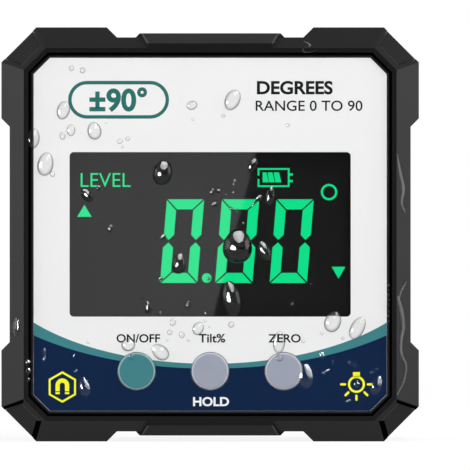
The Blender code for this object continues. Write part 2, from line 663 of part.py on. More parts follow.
def display_stack(materials):
    """Glass, light guide, lamp, holder and the two contact strips behind the lens."""
    glass = block("lcd_glass", GLASS_WIDTH, GLASS_HEIGHT, GLASS_FRONT, GLASS_BACK)
    ledge = (GLASS_LEDGE + OVERSHOOT)
    for name, side in (("upper", 1), ("lower", -1)):
        cut(glass, block(f"glass_step_{name}", GLASS_WIDTH + OVERSHOOT, ledge,
                         GLASS_FRONT + GLASS_PLATE, GLASS_BACK + OVERSHOOT,
                         z=side * (GLASS_HEIGHT / 2 - GLASS_LEDGE + ledge / 2)))
    piece(glass, materials["display"])

    strip_z = GLASS_HEIGHT / 2 - THREAD_GAP - STRIP_THICKNESS / 2
    strip_front = GLASS_FRONT + GLASS_PLATE + SNUG_GAP
    guide_height = GLASS_HEIGHT - 2 * (GLASS_LEDGE + HOLDER_WALL + THREAD_GAP)
    lamp_x = -(GUIDE_LENGTH / 2 + SEAT_GAP + LAMP_LENGTH / 2)
    holder = block("lcd_holder", HOLDER_WIDTH, HOLDER_HEIGHT, GLASS_FRONT, HOLDER_BACK)
    cut(holder, block("glass_pocket", GLASS_WIDTH + 2 * THREAD_GAP,
                      GLASS_HEIGHT + 2 * THREAD_GAP, GLASS_FRONT - OVERSHOOT, GUIDE_FRONT))
    reach = GUIDE_LENGTH / 2 + THREAD_GAP
    far_end = lamp_x - LAMP_LENGTH / 2 - THREAD_GAP
    cut(holder, block("guide_pocket", reach - far_end, guide_height + 2 * THREAD_GAP,
                      GLASS_FRONT, GUIDE_BACK + SEAT_GAP, x=(reach + far_end) / 2))
    cut(holder, block("lamp_hole", LAMP_LENGTH + 2 * THREAD_GAP, LAMP_WIDTH + 2 * THREAD_GAP,
                      GUIDE_FRONT, HOLDER_BACK + OVERSHOOT, x=lamp_x))
    for name, side in (("top", 1), ("bottom", -1)):
        cut(holder, block(f"strip_slot_{name}", GLASS_WIDTH, STRIP_THICKNESS + 2 * THREAD_GAP,
                          GLASS_FRONT, HOLDER_BACK + OVERSHOOT, z=side * strip_z))
        piece(block(f"zebra_strip_{name}", GLASS_WIDTH - 2 * THREAD_GAP, STRIP_THICKNESS,
                    strip_front, BOARD_FRONT - SNUG_GAP, z=side * strip_z), materials["rubber"])
    piece(holder, materials["holder"])

    piece(block("light_guide", GUIDE_LENGTH, guide_height, GUIDE_FRONT, GUIDE_BACK),
          materials["guide"])
    piece(block("backlight_led", LAMP_LENGTH, LAMP_WIDTH, GUIDE_FRONT, BOARD_FRONT - SNUG_GAP,
                x=lamp_x), materials["lamp"])


def button_row():
    return [("on_off", -BUTTON_SPACING), ("hold", 0.0), ("zero", BUTTON_SPACING)]


def rounded(radius, depth, size, steps=3):
    """Points of a rounded front rim, from the face out to the side."""
    points = []
    for step in range(steps + 1):
        turn = math.pi / 2 * step / steps
        points.append((radius - size + size * math.sin(turn), depth + size - size * math.cos(turn)))
    return points


def button_set(name, x, materials):
    """Cap, plunger and switch body of one button, on the button's own axis."""
    cap_front = FILM_FRONT - CAP_PROUD
    flange_front = PLATE_BACK + THREAD_GAP
    flange_back = flange_front + CAP_FLANGE
    switch_front = BOARD_FRONT - SEAT_GAP - SWITCH_HEIGHT
    plunger_front = switch_front - PLUNGER_RISE
    plunger_back = switch_front + PLUNGER_GUIDE
    radius = CAP_DIAMETER / 2
    flange = CAP_FLANGE_DIAMETER / 2
    stem = STEM_DIAMETER / 2
    cap_profile = [(0, cap_front), *rounded(radius, cap_front, CAP_EDGE),
                   (radius, flange_front), (flange, flange_front), (flange, flange_back),
                   (stem, flange_back), (stem, plunger_front - SNUG_GAP),
                   (0, plunger_front - SNUG_GAP)]
    cap = turned_at_depth(f"button_{name}", cap_profile, SIDES_FINE, x, -BUTTON_DROP)
    piece(cap, materials["teal"] if name == "on_off" else materials["grey"])

    push = PLUNGER_DIAMETER / 2
    push_profile = [(0, plunger_front), *rounded(push, plunger_front, SEAT_GAP, 2),
                    (push, plunger_back), (0, plunger_back)]
    plunger = turned_at_depth(f"plunger_{name}", push_profile, SIDES_COARSE, x, -BUTTON_DROP)
    piece(plunger, materials["plunger"])

    body = block(f"switch_{name}", SWITCH_SIZE, SWITCH_SIZE, switch_front,
                 BOARD_FRONT - SEAT_GAP, x=x, z=-BUTTON_DROP, corner=SEAT_GAP)
    bore_floor = plunger_back + BUTTON_TRAVEL + SNUG_GAP
    cut(body, rod(f"switch_bore_{name}", PLUNGER_DIAMETER + 2 * RUN_GAP,
                  switch_front - OVERSHOOT, bore_floor, x, -BUTTON_DROP, SIDES_COARSE))
    piece(body, materials["switch"])


def board_outline_chamfer(width, height):
    """Leg of the board's cut corners, which clear the screw posts."""
    reach = (POST_DIAMETER / 2 + BOARD_MARGIN) * math.sqrt(2)
    return (width + height) / 2 - (POST_X + POST_Z - reach)


def main_board(materials):
    """The board with its cut corners, and the chips and crystal on its back."""
    inset = COVER_GAP + SKIRT_WALL + BOARD_MARGIN
    width = OPENING_WIDTH - 2 * inset
    height = OPENING_HEIGHT - 2 * inset
    board = block("main_board", width, height, BOARD_FRONT, BOARD_BACK,
                  corner=board_outline_chamfer(width, height))
    for number, (x, z) in enumerate(four_corners(BOSS_X, BUTTON_DROP), 1):
        cut(board, rod(f"board_hole_{number}", BOARD_SCREW_DIAMETER + 2 * THREAD_GAP,
                       BOARD_FRONT - OVERSHOOT, BOARD_BACK + OVERSHOOT, x, z, SIDES_COARSE))
    piece(board, materials["board"])
    chip_front = BOARD_BACK + SNUG_GAP
    chip_back = chip_front + CHIP_HEIGHT
    piece(block("control_chip", CONTROL_CHIP, CONTROL_CHIP, chip_front, chip_back,
                x=-CONTROL_CHIP, back_edge=SNUG_GAP), materials["chip"])
    piece(block("sensor_chip", SENSOR_CHIP, SENSOR_CHIP, chip_front, chip_back,
                x=SENSOR_CHIP, back_edge=SNUG_GAP), materials["chip"])
    radius = CRYSTAL_DIAMETER / 2
    profile = [(0, CRYSTAL_LENGTH), (radius - SNUG_GAP, CRYSTAL_LENGTH),
               (radius, CRYSTAL_LENGTH - SNUG_GAP), (radius, 0), (0, 0)]
    place = (-CONTROL_CHIP, FRONT_Y + chip_front + radius, MIDDLE + CONTROL_CHIP)
    crystal = turned("crystal", profile, SIDES_COARSE, place, (0, math.pi / 2, 0))
    piece(crystal, materials["steel"])


def cross_slot(screw, x, z, back):
    """Cuts a cross into a screw head that faces the rear."""
    for name, width, height in (("level", SLOT_LENGTH, SLOT_WIDTH),
                                ("upright", SLOT_WIDTH, SLOT_LENGTH)):
        cut(screw, block(f"{screw.name}_{name}", width, height, back - SLOT_DEPTH,
                         back + OVERSHOOT, x=x, z=z))
    return baked(screw)


def screw_profile(shank, head, head_front, head_height, length, crown):
    """Radius and depth along a screw whose head faces the rear."""
    tip = head_front - length
    return [(0, tip), (shank / 4, tip), (shank / 2, tip + TIP_LENGTH), (shank / 2, head_front),
            (head / 2, head_front), (head / 2, head_front + head_height - crown),
            (head / 2 - crown, head_front + head_height), (0, head_front + head_height)]


def case_head_front():
    return REAR_FACE - CASE_HEAD_SINK - CASE_HEAD_HEIGHT


def case_screw_front():
    return case_head_front() - CASE_SCREW_LENGTH


def screws(kind, first_profile, x, z, count, material):
    """A set of equal screws, made at the first place and shared by the mirrored ones."""
    back = first_profile[-1][1]
    first = turned_at_depth(f"{kind}_1", first_profile, SIDES_COARSE, x, z)
    first = cross_slot(first, x, z, back)
    corners = four_corners(x, z) if count == 4 else [(0, z), (0, -z)]
    places = [(across, FRONT_Y, MIDDLE + up) for across, up in corners]
    copies(first, [f"{kind}_{number}" for number in range(1, count + 1)], places, material)


def all_screws(material):
    case = screw_profile(CASE_SCREW_DIAMETER, CASE_HEAD_DIAMETER, case_head_front(),
                         CASE_HEAD_HEIGHT, CASE_SCREW_LENGTH, SEAT_GAP)
    screws("case_screw", case, POST_X, POST_Z, 4, material)
    board = screw_profile(BOARD_SCREW_DIAMETER, BOARD_HEAD_DIAMETER, BOARD_BACK + SNUG_GAP,
                          BOARD_HEAD_HEIGHT, BOARD_SCREW_LENGTH, SEAT_GAP)
    screws("board_screw", board, BOSS_X, BUTTON_DROP, 4, material)
    head_back = DOOR_BACK - SNUG_GAP
    shank = DOOR_SCREW_DIAMETER / 2
    tip = head_back - DOOR_SCREW_LENGTH
    door = [(0, tip), (shank / 2, tip), (shank, tip + TIP_LENGTH),
            (shank, head_back - DOOR_HEAD_HEIGHT), (DOOR_HEAD_DIAMETER / 2, head_back - SNUG_GAP),
            (DOOR_HEAD_DIAMETER / 2, head_back), (0, head_back)]
    screws("door_screw", door, 0, DOOR_SCREW_Z, 2, material)


def rear_cover(material):
    """The rear moulding: plate, skirt, battery bay, door seat and screw posts."""
    skirt_end = RIB_BACK + SEAL_THICKNESS + 2 * SNUG_GAP
    cover = opening_block("rear_cover", COVER_GAP, skirt_end, REAR_FACE, back_edge=COVER_EDGE)
    cut(cover, opening_block("rear_hollow", COVER_GAP + SKIRT_WALL, skirt_end - OVERSHOOT,
                             REAR_PLATE))
    inside = (REAR_PLATE + DOOR_SEAT) / 2
    join(cover, block("bay_box", BAY_LENGTH + 2 * BAY_WALL, BAY_HEIGHT + 2 * BAY_WALL,
                      BAY_FRONT, inside))
    shoulder = OPENING_WIDTH - 2 * COVER_GAP - SKIRT_WALL
    join(cover, block("bay_shoulder", shoulder, BAY_HEIGHT + 2 * BAY_WALL,
                      skirt_end + SEAT_GAP, inside))
    for number, (x, z) in enumerate(four_corners(POST_X, POST_Z), 1):
        join(cover, rod(f"rear_post_{number}", POST_DIAMETER, RIB_BACK + SEAT_GAP, inside,
                        x, z, SIDES_COARSE))
    screw_tip = DOOR_BACK - SNUG_GAP - DOOR_SCREW_LENGTH - TIP_LENGTH
    for number, z in enumerate((DOOR_SCREW_Z, -DOOR_SCREW_Z), 1):
        join(cover, rod(f"door_boss_{number}", POST_DIAMETER, screw_tip - BAY_WALL, inside,
                        0, z, SIDES_COARSE))

    cut(cover, block("bay_inside", BAY_LENGTH, BAY_HEIGHT, BAY_FRONT + BAY_FLOOR,
                     REAR_FACE + OVERSHOOT))
    cut(cover, door_outline("door_seat", 0, DOOR_SEAT, REAR_FACE + OVERSHOOT))
    slot_x = BAY_LENGTH / 2 - SNUG_GAP - CONTACT_THICKNESS / 2
    for name, z in (("upper", CELL_Z), ("lower", -CELL_Z)):
        cut(cover, block(f"tab_slot_{name}", CONTACT_THICKNESS + 4 * SNUG_GAP,
                         CONTACT_TAB_WIDTH + 2 * THREAD_GAP, BAY_FRONT - OVERSHOOT,
                         BAY_FRONT + BAY_FLOOR + OVERSHOOT, x=slot_x, z=z))
    for number, z in enumerate((DOOR_SCREW_Z, -DOOR_SCREW_Z), 1):
        cut(cover, rod(f"door_pilot_{number}", DOOR_SCREW_DIAMETER + 2 * THREAD_GAP, screw_tip,
                       DOOR_SEAT + OVERSHOOT, 0, z, SIDES_COARSE))
    shelf = case_head_front() - SNUG_GAP
    for number, (x, z) in enumerate(four_corners(POST_X, POST_Z), 1):
        cut(cover, rod(f"head_bore_{number}", CASE_HEAD_DIAMETER + 4 * THREAD_GAP, shelf,
                       REAR_FACE + OVERSHOOT, x, z, SIDES_MEDIUM))
        cut(cover, rod(f"case_hole_{number}", CASE_SCREW_DIAMETER + 2 * THREAD_GAP,
                       RIB_BACK, shelf + OVERSHOOT, x, z, SIDES_COARSE))
    return piece(cover, material)


def door_outline(name, inset, front, back, **choices):
    """The door's outline, drawn in by inset: a long plate with a tab above and below."""
    body = block(name, BAY_LENGTH + 2 * (DOOR_LAP - inset), BAY_HEIGHT + 2 * (DOOR_LAP - inset),
                 front, back, corner=WINDOW_CORNER, corner_steps=2, **choices)
    reach = BAY_HEIGHT / 2 + DOOR_LAP + DOOR_TAB_REACH - inset
    join(body, block(name + "_tabs", DOOR_TAB_WIDTH - 2 * inset, 2 * reach, front, back,
                     corner=WINDOW_CORNER, corner_steps=2, **choices))
    return body


def battery_door(materials):
    """The door: a flange with two screw tabs, a plug that enters the bay, and its gasket."""
    door = door_outline("battery_door", RUN_GAP, PLUG_BACK, DOOR_BACK, back_edge=COVER_EDGE)
    middle = (PLUG_BACK + DOOR_BACK) / 2
    join(door, block("door_plug", BAY_LENGTH - 2 * SEAT_GAP, BAY_HEIGHT - 2 * SEAT_GAP,
                     DOOR_SEAT, middle))
    for number, side in enumerate((1, -1), 1):
        join(door, block(f"tab_pad_{number}", DOOR_TAB_WIDTH - 4 * RUN_GAP,
                         DOOR_TAB_REACH - 4 * RUN_GAP, PLUG_BACK - DOOR_TAB_PAD, middle,
                         z=side * DOOR_SCREW_Z))
    head_back = DOOR_BACK - SNUG_GAP
    gap = 2 * SNUG_GAP
    for number, z in enumerate((DOOR_SCREW_Z, -DOOR_SCREW_Z), 1):
        cut(door, rod(f"door_hole_{number}", DOOR_SCREW_DIAMETER + 2 * gap,
                      DOOR_SEAT - OVERSHOOT, DOOR_BACK, 0, z, SIDES_COARSE))
        cut(door, rod(f"door_sink_{number}", DOOR_SCREW_DIAMETER + 2 * gap,
                      head_back - DOOR_HEAD_HEIGHT, head_back - SNUG_GAP, 0, z, SIDES_COARSE,
                      back_diameter=DOOR_HEAD_DIAMETER + 2 * gap))
        cut(door, rod(f"door_mouth_{number}", DOOR_HEAD_DIAMETER + 2 * gap,
                      head_back - gap, DOOR_BACK + OVERSHOOT, 0, z, SIDES_COARSE))
    piece(door, materials["case"])

    gasket = block("door_seal", BAY_LENGTH + 2 * (DOOR_LAP - RUN_GAP),
                   BAY_HEIGHT + 2 * (DOOR_LAP - RUN_GAP), DOOR_SEAT + SNUG_GAP,
                   DOOR_SEAT + SNUG_GAP + DOOR_SEAL, corner=WINDOW_CORNER, corner_steps=2)
    cut(gasket, block("door_seal_hole", BAY_LENGTH + SNUG_GAP, BAY_HEIGHT + SNUG_GAP,
                      DOOR_SEAT - OVERSHOOT, DOOR_BACK, corner=SNUG_GAP))
    piece(gasket, materials["rubber"])


def batteries(materials):
    """Two cells, head to tail, each with its spring, and the three contact plates."""
    end = BAY_LENGTH / 2 - SNUG_GAP
    plate_x = end - CONTACT_THICKNESS / 2
    nub_x = end - CONTACT_THICKNESS - SNUG_GAP
    radius = CELL_DIAMETER / 2
    rim = SEAT_GAP
    profile = [(0, 0), (NUB_DIAMETER / 2, 0), (NUB_DIAMETER / 2, -NUB_LENGTH),
               (radius - rim, -NUB_LENGTH), (radius, -NUB_LENGTH - rim),
               (radius, rim - CELL_LENGTH), (radius - rim, -CELL_LENGTH), (0, -CELL_LENGTH)]
    depth = FRONT_Y + CELL_MIDDLE
    for name, side in (("upper", 1), ("lower", -1)):
        height = MIDDLE + side * CELL_Z
        turn = (0, side * math.pi / 2, 0)
        cell = turned(f"battery_{name}", profile, SIDES_MEDIUM, (side * nub_x, depth, height), turn)
        piece(cell, materials["cell"])
        spring_x = -side * (end - CONTACT_THICKNESS - SNUG_GAP)
        piece(cell_spring(f"spring_{name}", (spring_x, depth, height), turn), materials["steel"])

    front = CELL_MIDDLE - CONTACT_HEIGHT / 2
    back = CELL_MIDDLE + CONTACT_HEIGHT / 2
    piece(block("contact_bridge", CONTACT_THICKNESS, 2 * CELL_Z + CONTACT_HEIGHT, front, back,
                x=-plate_x), materials["steel"])
    for name, side in (("positive", 1), ("negative", -1)):
        plate = block(f"contact_{name}", CONTACT_THICKNESS, CONTACT_HEIGHT, front, back,
                      x=plate_x, z=side * CELL_Z)
        join(plate, block(f"tab_{name}", CONTACT_THICKNESS, CONTACT_TAB_WIDTH,
                          BOARD_BACK + THREAD_GAP, CELL_MIDDLE, x=plate_x, z=side * CELL_Z))
        piece(plate, materials["steel"])


def cell_spring(name, place, turn):
    """A conical coil of round wire, wide on its plate and narrow at the cell."""
    curve = bpy.data.curves.new(name, "CURVE")
    curve.dimensions = "3D"
    curve.bevel_depth = SPRING_WIRE / 2
    curve.bevel_resolution = 1
    curve.use_fill_caps = True
    spline = curve.splines.new("POLY")
    steps = round(SPRING_TURNS * SPRING_STEPS_PER_TURN)
    spline.points.add(steps)
    rise = SPRING_LENGTH - SPRING_WIRE
    for step, point in enumerate(spline.points):
        share = step / steps
        angle = 2 * math.pi * SPRING_TURNS * share
        radius = SPRING_WIDE_RADIUS + (SPRING_NARROW_RADIUS - SPRING_WIDE_RADIUS) * share
        height = SPRING_WIRE / 2 + rise * share
        point.co = (radius * math.cos(angle), radius * math.sin(angle), height, 1)
    coil = bpy.data.objects.new(name + "_curve", curve)
    bpy.data.collections["cutters"].objects.link(coil)
    graph = bpy.context.evaluated_depsgraph_get()
    mesh = bpy.data.meshes.new_from_object(coil.evaluated_get(graph))
    bpy.data.objects.remove(coil)
    bm = bmesh.new()
    bm.from_mesh(mesh)
    bmesh.ops.remove_doubles(bm, verts=bm.verts, dist=WELD)
    bm.to_mesh(mesh)
    bm.free()
    mesh.shade_smooth()
    return new_object(name, mesh, place, turn)


def clear_scene():
    for thing in list(bpy.data.objects):
        bpy.data.objects.remove(thing)


def main():
    clear_scene()
    make_collection("digital_angle_gauge")
    make_collection("cutters")
    materials = {
        "frame": make_material("frame_black", BLACK, 0.55),
        "case": make_material("case_black", CASE_GREY, 0.5),
        "film": make_material("film_white", WHITE, 0.4),
        "lens": make_material("lens_clear", CLEAR, 0.05, transmission=1.0),
        "display": make_material("display_dark", DISPLAY_BLACK, 0.15),
        "holder": make_material("holder_white", WHITE, 0.5),
        "guide": make_material("guide_clear", CLEAR, 0.2, transmission=0.6),
        "lamp": make_material("lamp_white", WHITE, 0.3, emission=0.5),
        "rubber": make_material("rubber_black", RUBBER, 0.8),
        "board": make_material("board_green", BOARD_GREEN, 0.45),
        "chip": make_material("chip_black", BLACK, 0.6),
        "switch": make_material("switch_black", BLACK, 0.5),
        "plunger": make_material("plunger_white", WHITE, 0.5),
        "teal": make_material("button_teal", TEAL, 0.45),
        "grey": make_material("button_grey", BUTTON_GREY, 0.45),
        "steel": make_material("steel", STEEL, 0.3, metallic=1.0),
        "magnet": make_material("magnet_nickel", STEEL, 0.25, metallic=1.0),
        "cell": make_material("cell_sleeve", CELL_SLEEVE, 0.35),
    }
    housing_frame(materials["frame"])
    base_magnets(materials["magnet"])
    front_cover(materials["case"])
    rear_cover(materials["case"])
    front_seal = RIB_FRONT - SNUG_GAP - SEAL_THICKNESS
    seal_ring("front_seal", front_seal, materials["rubber"])
    seal_ring("rear_seal", RIB_BACK + SNUG_GAP, materials["rubber"])
    face_overlay(materials["film"])
    display_window(materials["lens"])
    display_stack(materials)
    for name, x in button_row():
        button_set(name, x, materials)
    main_board(materials)
    battery_door(materials)
    batteries(materials)
    all_screws(materials["steel"])


main()
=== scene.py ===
# %% [markdown]
# A digital angle gauge, wet from the rain.
#
# The gauge is a square box, about 61 mm across, that a fitter stands or sticks on a beam to read
# its slope. A black frame with bumpers guards it, a printed film covers its face, and green
# figures shine through a clear window over three round keys. This lesson dresses a finished
# model of it: the solids come in first and stay as they are, and every later step adds a finish,
# a layer of print, a lit figure or a drop of water on top of them.

# %% Load the frame
import json
import math

import bmesh
import bpy
from mathutils import Matrix, Vector

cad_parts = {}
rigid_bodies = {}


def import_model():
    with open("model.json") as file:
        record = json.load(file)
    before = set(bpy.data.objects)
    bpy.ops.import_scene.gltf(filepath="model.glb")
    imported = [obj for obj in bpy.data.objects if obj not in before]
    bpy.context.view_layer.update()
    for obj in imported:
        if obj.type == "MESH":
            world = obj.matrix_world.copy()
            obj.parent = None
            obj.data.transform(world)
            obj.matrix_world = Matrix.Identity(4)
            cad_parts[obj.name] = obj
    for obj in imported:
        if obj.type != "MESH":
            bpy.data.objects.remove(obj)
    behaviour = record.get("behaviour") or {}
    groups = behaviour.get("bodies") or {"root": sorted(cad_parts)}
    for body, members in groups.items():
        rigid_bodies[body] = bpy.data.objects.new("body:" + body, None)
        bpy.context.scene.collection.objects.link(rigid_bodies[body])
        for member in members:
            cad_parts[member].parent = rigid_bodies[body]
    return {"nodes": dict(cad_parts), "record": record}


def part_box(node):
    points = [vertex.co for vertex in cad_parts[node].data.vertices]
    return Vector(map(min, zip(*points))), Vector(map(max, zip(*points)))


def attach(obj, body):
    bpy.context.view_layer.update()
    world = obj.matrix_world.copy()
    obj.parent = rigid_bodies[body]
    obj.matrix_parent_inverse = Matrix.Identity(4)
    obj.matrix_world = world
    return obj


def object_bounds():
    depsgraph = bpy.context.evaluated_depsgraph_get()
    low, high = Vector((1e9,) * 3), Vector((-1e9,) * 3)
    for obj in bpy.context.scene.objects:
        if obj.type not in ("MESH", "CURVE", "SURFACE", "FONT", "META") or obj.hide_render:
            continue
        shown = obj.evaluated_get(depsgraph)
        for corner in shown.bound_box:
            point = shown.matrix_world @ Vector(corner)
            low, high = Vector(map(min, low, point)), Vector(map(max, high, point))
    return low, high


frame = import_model()
nodes = frame["nodes"]
solid_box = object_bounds()

# %% [markdown]
# Places on the face are easiest to read as a distance from its middle, so two helpers turn such
# a place into the model's own metres. What lies on another piece takes its depth from that
# piece's box: the front of the film, of the pane, of a key or of the display. If a solid moves,
# what lies on it follows.

# %% Places on the face
MM = 0.001
MIDDLE = (solid_box[0].z + solid_box[1].z) / 2
FRAME_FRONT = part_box("housing_frame")[0].y
FILM_LOW, FILM_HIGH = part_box("face_overlay")
PANE_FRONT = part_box("display_window")[0].y
GLASS_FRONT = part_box("lcd_glass")[0].y
KEY_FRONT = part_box("button_hold")[0].y
FILM_FRONT = FILM_LOW.y
KEYS = {"on_off": "on_off_key", "hold": "hold_key", "zero": "zero_key"}


def middle_of(node):
    low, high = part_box(node)
    return (low + high) / 2


def on_face(x, z):
    """A place across the face, in millimetres from its middle, in metres."""
    return x * MM, MIDDLE + z * MM


print("film front", round(FILM_FRONT / MM, 2), "pane front", round(PANE_FRONT / MM, 2))

# %% [markdown]
# The photograph looks at the face dead on and shows almost no perspective, as a long lens from
# far away does. The camera stands straight in front of the middle of the face. The gauge sits
# left of the middle of the picture, so the lens is shifted sideways: turning the camera would
# show one side of the frame.

# %% Camera
PICTURE_PIXELS = 470
PIXEL = 0.146 * MM
FACE_MIDDLE_PIXEL = (210.15, 234.4)
CAMERA_DISTANCE = 1.2
SCALE_PLANE = 2.2 * MM
SENSOR = 36.0


def in_scene(name, data):
    """A new object with the data, linked into the scene."""
    thing = bpy.data.objects.new(name, data)
    bpy.context.scene.collection.objects.link(thing)
    return thing


camera_data = bpy.data.cameras.new("long_lens")
camera_data.sensor_width = SENSOR
camera_data.lens = SENSOR * (CAMERA_DISTANCE + SCALE_PLANE) / (PICTURE_PIXELS * PIXEL)
camera_data.shift_x = 0.5 - FACE_MIDDLE_PIXEL[0] / PICTURE_PIXELS
camera_data.shift_y = FACE_MIDDLE_PIXEL[1] / PICTURE_PIXELS - 0.5
camera_data.clip_start, camera_data.clip_end = 0.01, 20.0
camera = in_scene("camera", camera_data)
camera.location = (0, FRAME_FRONT - CAMERA_DISTANCE, MIDDLE)
camera.rotation_euler = (math.pi / 2, 0, 0)
bpy.context.scene.camera = camera
bpy.context.scene.view_settings.view_transform = "Standard"
print("lens", round(camera_data.lens), "mm")

# %% [markdown]
# A finish starts from a few shared effects, each kept as a node group so that every material
# can use it with its own values. The first is the fine grain that a moulding takes from its
# mould: it varies the tone and the roughness a little and raises a height for a bump. The second
# finds edges by comparing the true normal with one rounded by a bevel, and gives the mask for a
# painted highlight along them. The third is plating or brushed metal. A few helpers come
# first: one adds a node and sets or links its inputs, and others do the usual sums.

# %% Shared effects
EDGE_RADIUS = 0.25 * MM
EDGE_CONTRAST = 6.0
TARNISH = 0.08
LOOK = ["Colour", "Roughness", "Height"]
SOCKET_KINDS = {"Vector": "NodeSocketVector", "Colour": "NodeSocketColor"}


def fill(tree, node, *values, **settings):
    """Sets a node up. A title in small letters is a property, all other values are inputs.

    Values without a title go to the first inputs. An input takes a plain value, or a link where
    the value is the result of another node.
    """
    for title, value in settings.items():
        if title[0].islower():
            setattr(node, title, value)
    titled = [(node.inputs[title.replace("_", " ")], value) for title, value in settings.items()
              if title[0].isupper()]
    for socket, value in [*zip(node.inputs, values), *titled]:
        if isinstance(value, bpy.types.NodeSocket):
            tree.links.new(value, socket)
        else:
            socket.default_value = value
    return node


def add_node(tree, kind, *values, **settings):
    """A new shader node, set up by fill."""
    return fill(tree, tree.nodes.new("ShaderNode" + kind), *values, **settings)


def calc(tree, operation, *values, **settings):
    """The result of a Math node."""
    return add_node(tree, "Math", *values, operation=operation, **settings).outputs[0]


def scaled(tree, colour, share):
    """A colour times a share."""
    return add_node(tree, "VectorMath", colour, operation="SCALE", Scale=share).outputs[0]


def noise(tree, place, scale, detail):
    """A noise of 0 to 1."""
    return add_node(tree, "TexNoise", Vector=place, Scale=scale, Detail=detail).outputs["Fac"]


def spread_around(tree, source, middle, spread):
    """A value that moves around a middle by a spread, as a noise of 0 to 1 moves."""
    centred = calc(tree, "MULTIPLY_ADD", source, 2.0, -1.0)
    return calc(tree, "MULTIPLY_ADD", centred, spread, middle)


def new_group(name, entries, results):
    """An empty node group with named sockets, the values that enter it, and its exit node."""
    group = bpy.data.node_groups.new(name, "ShaderNodeTree")
    sockets = [(title, "INPUT", value) for title, value in entries.items()]
    for title, side, value in sockets + [(title, "OUTPUT", None) for title in results]:
        kind = SOCKET_KINDS.get(title, "NodeSocketFloat")
        socket = group.interface.new_socket(name=title, in_out=side, socket_type=kind)
        if value is not None:
            socket.default_value = value
    return group, group.nodes.new("NodeGroupInput").outputs, group.nodes.new("NodeGroupOutput")


def leave_look(group, entry, leave, clouds, tone_spread, wear, height):
    """Sends out the colour toned by clouds, the roughness moved by wear, and the height."""
    tone = spread_around(group, clouds, 1.0, tone_spread)
    rough = spread_around(group, wear, entry["Roughness"], entry["Roughness Spread"])
    fill(group, leave, scaled(group, entry["Colour"], tone), rough, height)
    return group


def grain_group():
    """Moulded grain: cloudy tone and roughness, and a fine height."""
    group, entry, leave = new_group(
        "moulded_grain", {"Vector": None, "Colour": (1, 1, 1, 1), "Tone Spread": 0.06,
                          "Roughness": 0.5, "Roughness Spread": 0.05, "Cloud Scale": 90.0,
                          "Grain Scale": 4500.0}, LOOK)
    cloud = noise(group, entry["Vector"], entry["Cloud Scale"], detail=4.0)
    fine = noise(group, entry["Vector"], entry["Grain Scale"], detail=2.0)
    return leave_look(group, entry, leave, cloud, entry["Tone Spread"], cloud, fine)


def edge_highlight_group():
    """Mask of a painted highlight: 1 where two faces meet within the radius, 0 on flat ground."""
    group, entry, leave = new_group("painted_edge_highlight", {"Strength": 1.0}, ["Mask"])
    bevel = add_node(group, "Bevel", samples=4, Radius=EDGE_RADIUS)
    geometry = add_node(group, "NewGeometry")
    dot = add_node(group, "VectorMath", bevel.outputs[0], geometry.outputs["Normal"],
                   operation="DOT_PRODUCT")
    gap = calc(group, "MULTIPLY_ADD", dot.outputs["Value"], -EDGE_CONTRAST, EDGE_CONTRAST,
               use_clamp=True)
    fill(group, leave, calc(group, "MULTIPLY", gap, entry["Strength"]))
    return group


def metal_group():
    """Plated or drawn metal: long fine scratches in roughness and height, and a faint tarnish."""
    group, entry, leave = new_group(
        "plated_metal", {"Vector": None, "Colour": (1, 1, 1, 1), "Roughness": 0.3,
                         "Roughness Spread": 0.08}, LOOK)
    stretched = add_node(group, "Mapping", Vector=entry["Vector"], Scale=(6.0, 1.0, 1.0))
    scratch = noise(group, stretched.outputs[0], scale=900.0, detail=3.0)
    tarnish = noise(group, entry["Vector"], scale=350.0, detail=2.0)
    return leave_look(group, entry, leave, tarnish, TARNISH, scratch, scratch)


GRAIN = grain_group()
EDGE_HIGHLIGHT = edge_highlight_group()
METAL = metal_group()
print("effects:", GRAIN.name, EDGE_HIGHLIGHT.name, METAL.name)

# %% [markdown]
# Colours are named as they look on the screen and turned into the linear values that a shader
# needs. Each material is one Principled shader fed by a group. A number that is the same all
# over, such as the strength of a reflection, is set on the shader's own socket.

# %% Material helpers
GRAZED_RIM_SHADE = (0.12, 0.50)
FINE_HEIGHT = 0.01 * MM


def linear(code):
    """A screen colour such as 1f2a30 as linear red, green, blue and full opacity."""
    values = [int(code[place:place + 2], 16) / 255 for place in (0, 2, 4)]
    return (*[value / 12.92 if value <= 0.04045 else ((value + 0.055) / 1.055) ** 2.4
              for value in values], 1.0)


def new_material(name, **constants):
    """A material, its node tree and its shader, with the plain sockets set."""
    material = bpy.data.materials.new(name)
    material.use_nodes = True
    tree = material.node_tree
    return material, tree, fill(tree, tree.nodes["Principled BSDF"], **constants)


def show(tree, node):
    """Makes a shader node the surface of its material."""
    fill(tree, tree.nodes["Material Output"], Surface=node.outputs[0])


def place_on(tree, title="Object"):
    """The place on the surface, in one of Blender's coordinates."""
    return add_node(tree, "TexCoord").outputs[title]


def place_parts(tree, title="Object"):
    """The X, Y and Z of a place on the surface."""
    return add_node(tree, "SeparateXYZ", place_on(tree, title)).outputs


def place_group(tree, group, **values):
    """The results of a group that reads Object coordinates, with its own values."""
    node = add_node(tree, "Group", node_tree=group, **values)
    if "Vector" in node.inputs:
        fill(tree, node, Vector=place_on(tree))
    return node.outputs


def length(tree, place):
    """The distance of a place from the origin."""
    return add_node(tree, "VectorMath", place, operation="LENGTH").outputs["Value"]


def spread_map(tree, source, start, end, low=0.0, high=1.0):
    """A value that goes from low to high as its source goes from start to end."""
    return add_node(tree, "MapRange", Value=source, From_Min=start, From_Max=end, To_Min=low,
                    To_Max=high).outputs["Result"]


def painted(tree, colour, mask, code):
    """A colour that turns into the colour of the code where the mask is 1."""
    return add_node(tree, "Mix", data_type="RGBA", Factor=mask, A=colour,
                    B=linear(code)).outputs["Result"]


def bumped(tree, height, strength, distance=FINE_HEIGHT):
    return add_node(tree, "Bump", Height=height, Strength=strength, Distance=distance).outputs[0]


